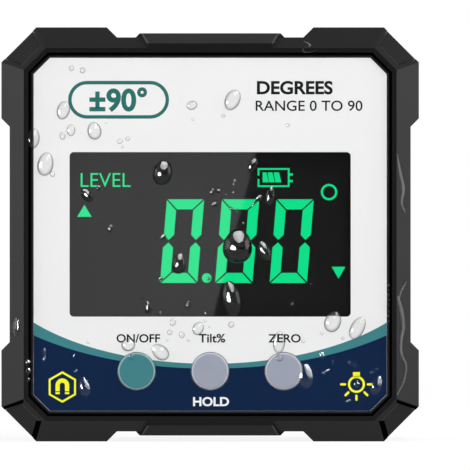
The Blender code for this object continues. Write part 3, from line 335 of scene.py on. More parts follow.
def moulded(name, code, roughness, bump=0.25, edge=None, tone=0.06, grain=4500.0, **constants):
    """Moulded plastic, rubber or ink, grainy, with a painted edge highlight where edge is given.
    """
    material, tree, shader = new_material(name, **constants)
    look = place_group(tree, GRAIN, Colour=linear(code), Roughness=roughness, Tone_Spread=tone,
                       Grain_Scale=grain)
    colour = look["Colour"]
    if edge is not None:
        # Where edge is given, the edges get a painted highlight.
        colour = painted(tree, colour, place_group(tree, EDGE_HIGHLIGHT, Strength=0.8)["Mask"], edge)
    fill(tree, shader, Base_Color=colour, Roughness=look["Roughness"],
         Normal=bumped(tree, look["Height"], bump))
    return material


def metal(name, code, roughness):
    material, tree, shader = new_material(name, Metallic=1.0)
    look = place_group(tree, METAL, Colour=linear(code), Roughness=roughness)
    fill(tree, shader, Base_Color=look["Colour"], Roughness=look["Roughness"],
         Normal=bumped(tree, look["Height"], 0.2, FINE_HEIGHT / 2))
    return material


def clear(name, code, roughness, index, painted_rim_code=None, rim_shade=0.0):
    """Clear plastic or water, less open to a lamp where grazed; a rim colour paints grey shade
    there.
    """
    material, tree, shader = new_material(name, IOR=index, Transmission_Weight=1.0)
    look = place_group(tree, GRAIN, Colour=linear(code), Roughness=roughness, Tone_Spread=0.01,
                       Roughness_Spread=roughness / 2)
    grazing = add_node(tree, "LayerWeight").outputs["Facing"]
    # A rim colour here is painted shade where the surface is grazed.
    rim = spread_map(tree, grazing, *GRAZED_RIM_SHADE)
    fill(tree, shader, Base_Color=painted(tree, look["Colour"], rim, painted_rim_code or code),
         Roughness=look["Roughness"])
    through = add_node(tree, "BsdfTransparent",
                       Color=calc(tree, "MULTIPLY_ADD", grazing, -rim_shade, 1.0))
    shadow = add_node(tree, "LightPath").outputs["Is Shadow Ray"]
    show(tree, add_node(tree, "MixShader", shadow, shader.outputs[0], through.outputs[0]))
    return material


print("a black of 1f1f1f is", [round(value, 4) for value in linear("1f1f1f")[:3]])

# %% [markdown]
# A key is a cap of coloured silicone with a rounded rim, and the rim carries a painted highlight,
# paler where light catches it. The three keys stand in a row at equal steps, so one mask serves
# them all: the place along the row is wrapped to the nearest key, and its distance from the key's
# middle picks out the rim.

# %% Finish of the keys
KEY_STEP = middle_of("button_zero").x - middle_of("button_hold").x
KEY_Z = middle_of("button_hold").z
KEY_RIM_HIGHLIGHT = (2.46 * MM, 2.60 * MM)


def key_finish(name, code, painted_rim_code):
    """Silicone with a painted highlight at the rim of the nearest key."""
    material, tree, shader = new_material(name, Specular_IOR_Level=0.25)
    look = place_group(tree, GRAIN, Colour=linear(code), Roughness=0.5, Tone_Spread=0.03)
    parts = place_parts(tree)
    across = calc(tree, "WRAP", parts["X"], KEY_STEP / 2, -KEY_STEP / 2)
    up = calc(tree, "SUBTRACT", parts["Z"], KEY_Z)
    reach = length(tree, add_node(tree, "CombineXYZ", X=across, Z=up).outputs[0])
    # The rim of each key gets a painted highlight.
    colour = painted(tree, look["Colour"], spread_map(tree, reach, *KEY_RIM_HIGHLIGHT), painted_rim_code)
    fill(tree, shader, Base_Color=colour, Roughness=look["Roughness"],
         Normal=bumped(tree, look["Height"], 0.3))
    return material


print("keys step", round(KEY_STEP / MM, 2), "mm")

# %% [markdown]
# The frame is one moulding, but its parts do not look alike. The raised bar in the middle of the
# top is a little paler, which is painted light, the narrow end faces of both bars carry a painted
# highlight, and the steps beside the two lower corner hollows carry painted black shade with no
# gloss, where hardly any light reaches them. The lamps alone do not give these three tones, so
# they are painted as leaning bands. One helper makes them: a band follows a line, starts at the
# ridge and has a half width. The painted black shade stops behind the front slope, so that the
# back keeps its plain black.

# %% Finish of the frame
# Bands of painted light: the top bar's paler tone, the bar ends' highlight, the steps' shade.
TOP_BAR_LIGHT = (0.0, 0.0, 27.85, 9.55)
BAR_END_HIGHLIGHT = (9.05, 0.6, 27.85, 0.13)
STEP_SHADE_BESIDE_SIDE = (24.3, 0.366, 27.2, 0.25)
STEP_SHADE_BESIDE_FOOT = (25.0, 0.3, 27.2, 0.43)
STEP_SHADE_BEFORE = 5.5
FRAME_SHINE = 0.2


def band(tree, across, along, numbers):
    """1 on a leaning band: its place at the start, lean, start and half width, in millimetres."""
    middle, lean, start, half = numbers
    line = calc(tree, "MULTIPLY_ADD", along, lean, (middle - lean * start) * MM)
    near = calc(tree, "COMPARE", calc(tree, "SUBTRACT", across, line), 0.0, half * MM)
    return calc(tree, "MULTIPLY", near, calc(tree, "GREATER_THAN", along, start * MM))


def frame_finish(name, code, bar_light_code, end_highlight_code, step_shade_code):
    """Moulded black; painted light on the top bar and its ends, painted shade beside the hollows.
    """
    material, tree, shader = new_material(name, Specular_IOR_Level=FRAME_SHINE)
    look = place_group(tree, GRAIN, Colour=linear(code), Roughness=0.45)
    parts = place_parts(tree)
    out = calc(tree, "ABSOLUTE", parts["X"])
    up = calc(tree, "SUBTRACT", parts["Z"], MIDDLE)
    down = calc(tree, "MULTIPLY", up, -1.0)
    # ends: the painted highlight on the end faces of both bars.
    ends = calc(tree, "MAXIMUM", band(tree, out, up, BAR_END_HIGHLIGHT), band(tree, out, down, BAR_END_HIGHLIGHT))
    # steps: the painted black shade beside the two lower hollows.
    steps = calc(tree, "MAXIMUM", band(tree, down, out, STEP_SHADE_BESIDE_SIDE),
                 band(tree, out, down, STEP_SHADE_BESIDE_FOOT))
    in_front = calc(tree, "LESS_THAN", parts["Y"], FRAME_FRONT + STEP_SHADE_BEFORE * MM)
    steps = calc(tree, "MULTIPLY", steps, in_front)
    # Painted light on the top bar, then the painted highlight and the painted shade over it.
    colour = painted(tree, look["Colour"], band(tree, out, up, TOP_BAR_LIGHT), bar_light_code)
    colour = painted(tree, painted(tree, colour, ends, end_highlight_code), steps, step_shade_code)
    fill(tree, shader, Base_Color=colour, Roughness=look["Roughness"],
         # The painted shade also takes the gloss off the steps.
         Specular_IOR_Level=calc(tree, "MULTIPLY_ADD", steps, -FRAME_SHINE, FRAME_SHINE),
         Normal=bumped(tree, look["Height"], 0.5))
    return material


print("bar ends at", BAR_END_HIGHLIGHT[0], "mm, hollow steps at", STEP_SHADE_BESIDE_SIDE[0], "mm")

# %% [markdown]
# Most of the gauge is moulded plastic. The frame is a tough matt black with a fine grain, and
# the covers are the same family but a touch greyer. The keys are coloured silicone, the seals
# are rubber, and the film is white polyester with a satin skin. The inside gets its own true
# finishes too, because the pieces can be taken apart.

# %% Finishes of the solids
finishes = {
    # The frame's last three colours are painted light: top bar, bar end highlight, step shade.
    "frame_black": frame_finish("frame_black_plastic", "070708", "1f1f20", "48484a", "030303"),
    # The cover's edge colour is a painted highlight along its edges.
    "case_black": moulded("cover_black_plastic", "18181a", 0.42, bump=0.35, edge="38383b",
                          Specular_IOR_Level=0.2),
    "film_print": moulded("white_film", "f0f0f0", 0.36, bump=0.06, tone=0.008,
                          Specular_IOR_Level=0.12),
    "lens_clear": clear("window_acrylic", "ffffff", 0.01, 1.45),
    "display_dark": moulded("polariser_dark", "141415", 0.3, bump=0.0, tone=0.02,
                            Specular_IOR_Level=0.1),
    "holder_white": moulded("holder_white_plastic", "dfe0dd", 0.5, bump=0.2, tone=0.03),
    "guide_clear": clear("light_guide_acrylic", "f2f6f5", 0.25, 1.49),
    "rubber_black": moulded("seal_rubber", "141414", 0.75, bump=0.4),
    "chip_black": moulded("chip_epoxy", "17181a", 0.6, bump=0.5, grain=9000.0),
    "switch_black": moulded("switch_plastic", "1c1c1e", 0.5, bump=0.2),
    "plunger_white": moulded("plunger_nylon", "dad8cf", 0.45, bump=0.15, tone=0.03),
    # Each key's second colour is the painted highlight on its rim.
    "button_teal": key_finish("teal_silicone", "3d7f86", "a9c9cc"),
    "button_grey": key_finish("grey_silicone", "9da2b2", "d2d5dd"),
    "steel": metal("nickel_steel", "c3c2bd", 0.28),
    "magnet_nickel": metal("magnet_nickel", "c9c8c6", 0.2),
}
print("finishes:", len(finishes))

# %% [markdown]
# Three inner pieces need a pattern of their own. The board is green solder mask over copper
# tracks, made here by thresholding a cell pattern. A battery wears a dark sleeve with a copper
# coloured band at its ends, so its colour follows the place along the cell. The lamp of the
# backlight glows a little.

# %% Board, cells and lamp
TRACK_SCALE = 420.0
TRACK_WIDTH = 0.07
SLEEVE_BAND = 14.5 * MM


def board_finish():
    material, tree, shader = new_material("board_solder_mask", Coat_Weight=0.3)
    tracks = add_node(tree, "TexVoronoi", feature="DISTANCE_TO_EDGE", Vector=place_on(tree),
                      Scale=TRACK_SCALE)
    line = calc(tree, "LESS_THAN", tracks.outputs["Distance"], TRACK_WIDTH)
    look = place_group(tree, GRAIN, Colour=painted(tree, linear("0d4a2c"), line, "2b6b3f"),
                       Roughness=0.4, Tone_Spread=0.05)
    fill(tree, shader, Base_Color=look["Colour"], Roughness=look["Roughness"],
         Normal=bumped(tree, line, 0.3, 2 * FINE_HEIGHT))
    return material


def cell_finish():
    material, tree, shader = new_material("battery_sleeve", Metallic=0.4)
    reach = calc(tree, "ABSOLUTE", place_parts(tree)["X"])
    copper = calc(tree, "GREATER_THAN", reach, SLEEVE_BAND)
    look = place_group(tree, GRAIN, Colour=painted(tree, linear("22262e"), copper, "8a5c3a"),
                       Roughness=0.32, Tone_Spread=0.04)
    fill(tree, shader, Base_Color=look["Colour"], Roughness=look["Roughness"])
    return material


def lamp_finish():
    material, tree, shader = new_material("lamp_phosphor", Emission_Strength=0.4)
    look = place_group(tree, GRAIN, Colour=linear("f4efc0"), Roughness=0.4, Tone_Spread=0.05)
    fill(tree, shader, Base_Color=look["Colour"], Emission_Color=look["Colour"],
         Roughness=look["Roughness"])
    return material


finishes["board_green"] = board_finish()
finishes["cell_sleeve"] = cell_finish()
finishes["lamp_white"] = lamp_finish()
slot_of = {part["node"]: part["material_slot"] for part in frame["record"]["subparts"]}
for node_name, solid in nodes.items():
    solid.data.materials.clear()
    solid.data.materials.append(finishes[slot_of[node_name]])
print("dressed:", len(slot_of), "solids with", len(finishes), "finishes")

# %% [markdown]
# Print is a layer of ink about a hundredth of a millimetre thick. It could be a picture on the
# film, but a field of ink with its own outline stays sharp at any distance. Each field here is a
# flat filled curve: outlines inside the first one become holes. The curve is given a little
# thickness, turned into a mesh, stood up and laid on what carries it.

# %% Flat shapes
INK = 0.012 * MM
LAYER = 1.5 * INK
WELD = 0.0005 * MM


def circle_points(x, z, radius, steps=48, start=0.0, turn=2 * math.pi):
    """Points on an arc round x, z, in millimetres from the middle of the face."""
    full = abs(turn - 2 * math.pi) < 1e-6
    count = steps if full else steps + 1
    return [(x + radius * math.cos(start + turn * step / steps),
             z + radius * math.sin(start + turn * step / steps)) for step in range(count)]


def mesh_from(name, data):
    """The mesh of a curve or a text, whose own object is thrown away."""
    loose = in_scene(name + "_loose", data)
    graph = bpy.context.evaluated_depsgraph_get()
    mesh = bpy.data.meshes.new_from_object(loose.evaluated_get(graph))
    bpy.data.objects.remove(loose)
    return mesh


def stand_up(name, mesh, depth, x=0.0, z=MIDDLE, fit=Matrix()):
    """Stands a layer upright, its front an ink's thickness before a depth, its back sunk."""
    place = Matrix.Translation((x, depth - INK / 4, z))
    mesh.transform(place @ Matrix.Rotation(math.pi / 2, 4, "X") @ fit)
    bm = bmesh.new()
    bm.from_mesh(mesh)
    bmesh.ops.remove_doubles(bm, verts=bm.verts, dist=WELD)
    bmesh.ops.recalc_face_normals(bm, faces=bm.faces[:])
    bm.to_mesh(mesh)
    bm.free()
    mesh.name = name


def add_piece(name, mesh, material, body="gauge"):
    """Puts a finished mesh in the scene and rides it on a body."""
    thing = in_scene(name, mesh)
    mesh.materials.clear()
    mesh.materials.append(material)
    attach(thing, body)
    return thing


def flat_piece(name, outlines, material, depth=FILM_FRONT):
    """A layer of ink with these outlines, on what lies at a depth."""
    curve = bpy.data.curves.new(name, "CURVE")
    curve.dimensions = "2D"
    curve.fill_mode = "BOTH"
    curve.extrude = LAYER / 2
    for outline in outlines:
        spline = curve.splines.new("POLY")
        spline.points.add(len(outline) - 1)
        for point, (x, z) in zip(spline.points, outline):
            point.co = (x * MM, z * MM, 0, 1)
        spline.use_cyclic_u = True
    mesh = mesh_from(name, curve)
    stand_up(name, mesh, depth)
    return add_piece(name, mesh, material)


print("a layer of ink is", round(LAYER / MM, 3), "mm thick")

# %% [markdown]
# The inks: navy for the foot of the face, teal for the stripe above it, a deeper teal for the
# badge, near black for the words, white and yellow for what stands on the navy.

# %% Inks
INK_CODES = {"navy": "052144", "teal": "3f8389", "deep_teal": "2a7069", "black": "1a1a1c",
             "white": "f6f6f8", "yellow": "fbfb2c"}
inks = {name: moulded(name + "_ink", code, 0.36, bump=0.06, tone=0.02, Specular_IOR_Level=0.12)
        for name, code in INK_CODES.items()}
print("inks:", sorted(inks))

# %% [markdown]
# The foot of the face is a navy field under a teal stripe. Both have a hanging, hollow upper
# edge: a wide half ellipse that is lowest in the middle. The stripe is thin in the middle and
# thick at the sides because its two edges are ellipses of different width. The fields stop at
# the cut corners of the film, and leave round holes for the keys.

# %% Navy foot and teal stripe
FILM_INSET = 0.02
HALF_FILM = (FILM_HIGH.x - FILM_LOW.x) / 2 / MM - FILM_INSET
FILM_CORNER = 2.4
STRIPE_UPPER = (32.85, 15.88, -18.86)
STRIPE_LOWER = (36.5, 16.70, -19.56)
KEY_X = sorted(middle_of(f"button_{name}").x / MM for name in KEYS)
KEY_HEIGHT = (middle_of("button_hold").z - MIDDLE) / MM
HOLE_RADIUS = 2.81
HALVINGS = 40


def edge_height(edge, x):
    """Height of the hanging edge at x. An edge is its two half axes and its lowest height."""
    wide, tall, lowest = edge
    return lowest + tall * (1 - math.sqrt(1 - (x / wide) ** 2))


def edge_run(edge, start, end, steps=24):
    """Points along the edge from one x to another."""
    places = [start + (end - start) * step / steps for step in range(steps + 1)]
    return [(x, edge_height(edge, x)) for x in places]


def meeting(edge, key_x, side):
    """Where the edge meets the round hole of a key, on its left (-1) or right (1) side."""
    inside, outside = 0.0, HOLE_RADIUS + 1
    for _ in range(HALVINGS):
        reach = (inside + outside) / 2
        x = key_x + side * reach
        if math.hypot(x - key_x, edge_height(edge, x) - KEY_HEIGHT) < HOLE_RADIUS:
            inside = reach
        else:
            outside = reach
    return key_x + side * inside


def hole_arc(key_x, start, end, steps=16):
    """The round side of a key's hole from one point to another, turning left."""
    first = math.atan2(start[1] - KEY_HEIGHT, start[0] - key_x)
    last = math.atan2(end[1] - KEY_HEIGHT, end[0] - key_x)
    turn = (last - first) % (2 * math.pi)
    return circle_points(key_x, KEY_HEIGHT, HOLE_RADIUS, steps, first, turn)[1:-1]


def foot_outline():
    """The navy field: along its upper edge, under each key, and back round the cut corners."""
    outline = []
    start = -HALF_FILM
    for key_x in KEY_X:
        left, right = (meeting(STRIPE_LOWER, key_x, side) for side in (-1, 1))
        run = edge_run(STRIPE_LOWER, start, left)
        resume = (right, edge_height(STRIPE_LOWER, right))
        outline += run + hole_arc(key_x, run[-1], resume, 40)
        start = right
    outline += edge_run(STRIPE_LOWER, start, HALF_FILM)
    return outline + [(HALF_FILM, FILM_CORNER - HALF_FILM), (HALF_FILM - FILM_CORNER, -HALF_FILM),
                      (FILM_CORNER - HALF_FILM, -HALF_FILM),
                      (-HALF_FILM, FILM_CORNER - HALF_FILM)]


def stripe_outlines():
    """The teal stripe in four runs, because the keys cut right through it."""
    runs = []
    limits = [-HALF_FILM, *KEY_X, HALF_FILM]
    for left, right in zip(limits, limits[1:]):
        upper, lower = [edge_run(edge, meeting(edge, left, 1) if left in KEY_X else left,
                                 meeting(edge, right, -1) if right in KEY_X else right)
                        for edge in (STRIPE_UPPER, STRIPE_LOWER)]
        lower.reverse()
        right_end = hole_arc(right, upper[-1], lower[0]) if right in KEY_X else []
        left_end = hole_arc(left, lower[-1], upper[0]) if left in KEY_X else []
        runs.append(upper + right_end + lower + left_end)
    return runs


flat_piece("navy_foot", [foot_outline()], inks["navy"])
flat_piece("teal_stripe", stripe_outlines(), inks["teal"])
print("half width", round(HALF_FILM, 2), "keys at", [round(x, 2) for x in KEY_X])

# %% [markdown]
# Words are text objects with Blender's own letters, turned into meshes and then fitted to a
# width and a height that suit the place. They are plain words for what a key does and for the
# range of the gauge. A positive offset thickens the strokes for the bold ones.

# %% Words
LETTER_DEPTH = 0.002


def words(name, body, left, right, bottom, top, material, bold=0.0, depth=FILM_FRONT):
    """Text fitted between four edges, in millimetres from the middle of the face."""
    text = bpy.data.curves.new(name, "FONT")
    text.body = body
    text.size = 1.0
    text.resolution_u = 5
    text.offset = bold
    text.fill_mode = "BOTH"
    text.extrude = LETTER_DEPTH / 2
    mesh = mesh_from(name, text)
    across = [vert.co.x for vert in mesh.vertices]
    up = [vert.co.y for vert in mesh.vertices]
    scale_x = (right - left) * MM / (max(across) - min(across))
    scale_y = (top - bottom) * MM / (max(up) - min(up))
    fit = Matrix.Diagonal((scale_x, scale_y, LAYER / LETTER_DEPTH, 1))
    back_to_corner = Matrix.Translation((-min(across), -min(up), 0))
    stand_up(name, mesh, depth, *on_face(left, bottom), fit @ back_to_corner)
    return add_piece(name, mesh, material)


ON_NAVY = FILM_FRONT - INK
words("heading_bold", "DEGREES", 6.82, 17.87, 20.40, 22.38, inks["black"], bold=0.03)
words("heading_thin", "RANGE 0 TO 90", 6.64, 22.21, 17.99, 19.52, inks["black"], bold=0.008)
words("label_on_off", "ON/OFF", -13.65, -7.31, -15.78, -14.53, inks["black"], bold=0.02)
words("label_tilt", "Tilt%", -1.66, 2.20, -15.78, -14.50, inks["black"], bold=0.02)
words("label_zero", "ZERO", 8.47, 13.21, -15.78, -14.53, inks["black"], bold=0.02)
words("label_hold", "HOLD", -2.50, 2.76, -25.06, -23.70, inks["white"], bold=0.032,
      depth=ON_NAVY)
print("words on the film: 6")

# %% [markdown]
# The badge is a pill: two half circles joined by straight lines, drawn twice so that the inner
# one is a hole. It holds the gauge's range as plain figures.

# %% Badge


def pill(x, z, half_width, half_height, steps=24):
    """A long rounded outline, from its right end round to its left."""
    run = half_width - half_height
    right = circle_points(x + run, z, half_height, steps, -math.pi / 2, math.pi)
    left = circle_points(x - run, z, half_height, steps, math.pi / 2, math.pi)
    return right + left


BADGE = (-13.35, 19.63)
BADGE_HALF = (7.35, 2.75)
BADGE_STROKE = 0.50
flat_piece("badge_ring", [pill(*BADGE, *[half - cut for half in BADGE_HALF])
                          for cut in (0, BADGE_STROKE)], inks["deep_teal"])
words("badge_range", "±90°", -17.6, -9.2, 17.85, 21.45, inks["deep_teal"], bold=0.03)
print("badge at", BADGE)

# %% [markdown]
# Two yellow pictures mark what the gauge has: a magnet in a six sided ring, and a lamp with
# rays. A horseshoe is two half circles with straight legs, and its tips are cut off by a gap. A
# ray is a short bar with round ends, so the pill outline serves again, turned to its angle.

# %% Magnet and lamp pictures
RING_RADII = (2.30, 1.97)
SHOE_RADII = (1.0, 0.38)
SHOE_CROWN = 0.25
SHOE_LEGS = -0.62
TIP_FROM = 0.12
TIP_TO = 0.42
BULB_RADII = (1.24, 0.92)
LAMP_CAP = ((-0.47, 1.08), (0.47, 1.08), (0.53, 1.70), (0.46, 1.78), (-0.46, 1.78),
            (-0.53, 1.70))
RAY_HALF = (0.45, 0.165)
RAY_REACH = 1.95
RAY_ANGLES = (0, 180, 225, 270, 315)


def turned_outline(outline, x, z, angle, reach):
    """An outline drawn round the origin, turned and set at a reach from x, z."""
    cos, sin = math.cos(angle), math.sin(angle)
    return [(x + (reach + u) * cos - v * sin, z + (reach + u) * sin + v * cos)
            for u, v in outline]


def magnet_picture(x, z):
    """A horseshoe with cut tips, in a six sided ring."""
    outer, inner = SHOE_RADII
    crown = z + SHOE_CROWN
    legs = z + SHOE_LEGS
    ring = [circle_points(x, z, radius, 6, math.pi / 2) for radius in RING_RADII]
    shoe = [*circle_points(x, crown, outer, 24, 0, math.pi), (x - outer, legs),
            (x - inner, legs), *circle_points(x, crown, inner, 16, math.pi, -math.pi),
            (x + inner, legs), (x + outer, legs)]
    tip = ((inner, TIP_FROM), (outer, TIP_FROM), (outer, TIP_TO), (inner, TIP_TO))
    tips = [[(x + side * u, legs - v) for u, v in tip] for side in (-1, 1)]
    return [*ring, shoe, *tips]


def lamp_picture(x, z):
    """The outlines of a lamp's bulb, of its cap and of its rays."""
    bulb = [circle_points(x, z, radius, 40) for radius in BULB_RADII]
    cap = [[(x + u, z + v) for u, v in LAMP_CAP]]
    ray = pill(0, 0, *RAY_HALF, 8)
    rays = [turned_outline(ray, x, z, math.radians(angle), RAY_REACH) for angle in RAY_ANGLES]
    return {"ring": bulb, "cap": cap, "rays": rays}


flat_piece("magnet_picture", magnet_picture(-21.55, -22.25), inks["yellow"], ON_NAVY)
for name, outlines in lamp_picture(21.33, -21.86).items():
    flat_piece("lamp_picture_" + name, outlines, inks["yellow"], ON_NAVY)
print("pictures: magnet and lamp")

# %% [markdown]
# The display is a dark glass whose figures glow green from the light behind it. A figure is made
# of flat bars, mitred at the corners and pointed in the middle, and the whole figure leans a
# little to the right. One function draws the six lit bars of a nought, and the lean is a shear
# of its points. The bars lie just in front of the glass, behind the clear window.

# %% Green of the display
UNLIT = 0.02


def figure_finish():
    """A green that glows, and is nearly black to the light that falls on it."""
    material, tree, shader = new_material("figure_green", Emission_Strength=1.0,
                                          Specular_IOR_Level=0.0)
    look = place_group(tree, GRAIN, Colour=linear("0be38b"), Roughness=0.5, Tone_Spread=0.02,
                       Cloud_Scale=200.0)
    fill(tree, shader, Base_Color=scaled(tree, look["Colour"], UNLIT),
         Emission_Color=look["Colour"], Roughness=look["Roughness"])
    return material


figure_green = figure_finish()


def lit_piece(name, outlines):
    """A lit sign or figure in front of the display's glass."""
    return flat_piece(name, outlines, figure_green, GLASS_FRONT)


print("figures glow in", figure_green.name)

# %% [markdown]
# Each nought is about 12.2 mm tall and 5.5 mm wide, with bars 1.5 mm wide. The gaps between the
# bars are 0.2 mm at the corners and a little wider in the middle.

# %% The three noughts
FIGURE_TOP = 5.13
FIGURE_BASE = -7.10
FIGURE_WIDTH = 5.45
FIGURE_LEAN = 0.082
BAR = 1.48
BAR_GAP = 0.2
MIDDLE_GAP = 0.36


def leaning(points, left):
    """Points of a bar, from the figure's lower left corner, sheared to the right."""
    return [(left + u + v * FIGURE_LEAN, FIGURE_BASE + v) for u, v in points]


def nought(left):
    """The six lit bars of a nought whose lower left corner is at left."""
    wide, tall = FIGURE_WIDTH, FIGURE_TOP - FIGURE_BASE
    gap = BAR_GAP * math.sqrt(2) / 2
    level = [(gap, 0), (wide - gap, 0), (wide - gap - BAR, BAR), (gap + BAR, BAR)]
    half = tall / 2 - MIDDLE_GAP / 2
    upright = [(0, gap), (BAR, gap + BAR), (BAR, half - BAR / 2), (BAR / 2, half),
               (0, half - BAR / 2)]
    bars = [level, [(u, tall - v) for u, v in level]]
    for mirror_u in (False, True):
        for mirror_v in (False, True):
            bars.append([(wide - u if mirror_u else u, tall - v if mirror_v else v)
                         for u, v in upright])
    return [leaning(bar, left) for bar in bars]


for number, left in enumerate((-7.32, 0.72, 8.68), 1):
    lit_piece(f"figure_{number}", nought(left))
lit_piece("decimal_point", [circle_points(-0.51, -6.37, 0.70, 32)])
print("figures: 3, each of", len(nought(0)), "bars")

# %% [markdown]
# Around the figures stand the small signs: the word LEVEL, a triangle that points up and one
# that points down to say which way to tilt, the degree ring, and a battery with three bars.

# %% Signs of the display


def box_outline(left, right, bottom, top):
    """The four corners of an upright box."""
    return [(left, bottom), (right, bottom), (right, top), (left, top)]


words("sign_level", "LEVEL", -18.91, -11.62, 6.92, 8.95, figure_green, bold=-0.004,
      depth=GLASS_FRONT)
lit_piece("sign_up", [[(-19.43, 2.56), (-17.30, 2.56), (-18.37, 4.32)]])
lit_piece("sign_down", [[(17.76, -4.73), (18.75, -6.48), (19.76, -4.73)]])
lit_piece("sign_degree", [circle_points(17.37, 6.18, 1.20), circle_points(17.37, 6.18, 0.88)])

BATTERY = (6.94, 11.60, 6.92, 9.68)
BATTERY_GAP = (-0.20, 0.30)
LINE = 0.25
KNOB_SIZE = (0.48, 0.34)
KNOB_PLACES = (0.28, -0.68)
CHARGE = ((7.66, 8.22, 0.0), (8.62, 9.10, -0.24), (9.52, 10.06, -0.24))
CHARGE_LEAN = 0.34
CHARGE_MARGINS = (0.68, 0.62)


def battery_sign():
    """The outlines of a battery with a gap at its left and three bars, and of its two knobs."""
    left, right, bottom, top = BATTERY
    middle = (bottom + top) / 2
    gap_low, gap_high = (middle + height for height in BATTERY_GAP)
    case = [(left, gap_high), (left, top), (right, top), (right, bottom), (left, bottom),
            (left, gap_low), (left + LINE, gap_low), (left + LINE, bottom + LINE),
            (right - LINE, bottom + LINE), (right - LINE, top - LINE), (left + LINE, top - LINE),
            (left + LINE, gap_high)]
    wide, tall = KNOB_SIZE
    knobs = [box_outline(right - 0.02, right + wide, middle + height, middle + height + tall)
             for height in KNOB_PLACES]
    low, high = bottom + CHARGE_MARGINS[0], top - CHARGE_MARGINS[1]
    bars = [[(start, low), (end + CHARGE_LEAN, low), (end, high), (start + lean, high)]
            for start, end, lean in CHARGE]
    return [case, *bars], knobs


battery_lines, battery_knobs = battery_sign()
lit_piece("sign_battery", battery_lines)
lit_piece("sign_battery_knobs", battery_knobs)
print("signs: 6")

# %% [markdown]
# Water lies on the gauge in drops. A drop on plastic is a cap cut from a ball: it stands up at
# an angle from its edge and sags a little to its lower side. One ball is made and cut by a
# plane, closed, and then stretched, leaned and sagged for each drop, with its foot sunk a hair
# into what carries it. Drops that lie on one carrier are one piece. The numbers are where each
# drop lies, its width and height, and where it isn't plain also how far it leans, in degrees,
# and how much its head narrows. The large drops take the finer of two caps.

# %% Drops
CONTACT_ANGLE = math.radians(68)
DROP_RISE = 0.34
DROP_SAG = 0.5
DROP_SINK = 0.03 * MM
DROP_EDGE = math.radians(40)
FINE_FROM = 1.5

# The grey rim colours, and the grey tint of the water on the window, are painted shade.
water = {"film": clear("water_on_film", "f2f2f3", 0.0, 1.33, "2e2e30", 0.8),
         "foot": clear("water_on_navy", "f4f4f4", 0.0, 1.33),
         "window": clear("water_on_window", "9c9c9c", 0.0, 1.33, "8c8c8c", 0.8)}


def mesh_of(name, bm):
    """The mesh of a bmesh, which is freed."""
    mesh = bpy.data.meshes.new(name)
    bm.to_mesh(mesh)
    bm.free()
    return mesh


def cap_mesh(around, along):
    """A cap of a ball one unit across at its foot, with its crown along -Y."""
    bm = bmesh.new()
    bmesh.ops.create_uvsphere(bm, u_segments=around, v_segments=along, radius=1.0)
    upright = Matrix.Rotation(math.pi / 2, 3, "X")
    bmesh.ops.rotate(bm, verts=bm.verts, cent=(0, 0, 0), matrix=upright)
    level = -math.cos(CONTACT_ANGLE)
    cut = bmesh.ops.bisect_plane(bm, geom=bm.verts[:] + bm.edges[:] + bm.faces[:],
                                 plane_co=(0, level, 0), plane_no=(0, 1, 0), clear_outer=True)
    rim = [item for item in cut["geom_cut"] if isinstance(item, bmesh.types.BMEdge)]
    bmesh.ops.holes_fill(bm, edges=rim)
    bmesh.ops.translate(bm, verts=bm.verts, vec=(0, -level, 0))
    foot = math.sin(CONTACT_ANGLE)
    bmesh.ops.scale(bm, verts=bm.verts, vec=(0.5 / foot, 1 / (1 + level), 0.5 / foot))
    return mesh_of("drop_cap", bm)


FINE_CAP = cap_mesh(56, 48)
PLAIN_CAP = cap_mesh(28, 24)


def add_drop(bm, surface, x, z, width, height, lean=0, narrow=0.0):
    """Adds one drop to a mesh: surface gives the depth of its carrier at a place."""
    start = len(bm.verts)
    bm.from_mesh(FINE_CAP if height > FINE_FROM else PLAIN_CAP)
    bm.verts.ensure_lookup_table()
    rise = DROP_RISE * min(width, height)
    turn = math.radians(lean)
    for vert in bm.verts[start:]:
        u, rise_share, v = vert.co.x, -vert.co.y, vert.co.z
        across = u * width * (1 - narrow * 2 * v)
        up = v * height
        thick = rise * rise_share * (1 - DROP_SAG * v)
        place_x, place_z = on_face(x + across * math.cos(turn) + up * math.sin(turn),
                                   z - across * math.sin(turn) + up * math.cos(turn))
        vert.co = (place_x, surface(place_x, place_z) + DROP_SINK - thick * MM, place_z)


def wet_piece(name, mesh, kind, body="gauge"):
    """A smooth piece of one kind of water. The light that matt surfaces gather ignores it."""
    mesh.shade_smooth()
    thing = add_piece(name, mesh, water[kind], body)
    thing.visible_diffuse = False


def drops_piece(name, drops, surface, kind="film", body="gauge"):
    """One piece with all the drops that lie on one carrier."""
    bm = bmesh.new()
    for drop in drops:
        add_drop(bm, surface, *drop)
    mesh = mesh_of(name, bm)
    wet_piece(name, mesh, kind, body)
    mesh.set_sharp_from_angle(angle=DROP_EDGE)
    print(name, len(drops), "drops", len(mesh.polygons), "faces")


print("kinds of water:", sorted(water))

# %% [markdown]
# On the window the water looks nearly black, because the dark display lies behind it. These
# drops are tinted grey, a painted shade that darkens them so that the green figures do not shine
# through them, and their grazed rims are painted a little darker still.

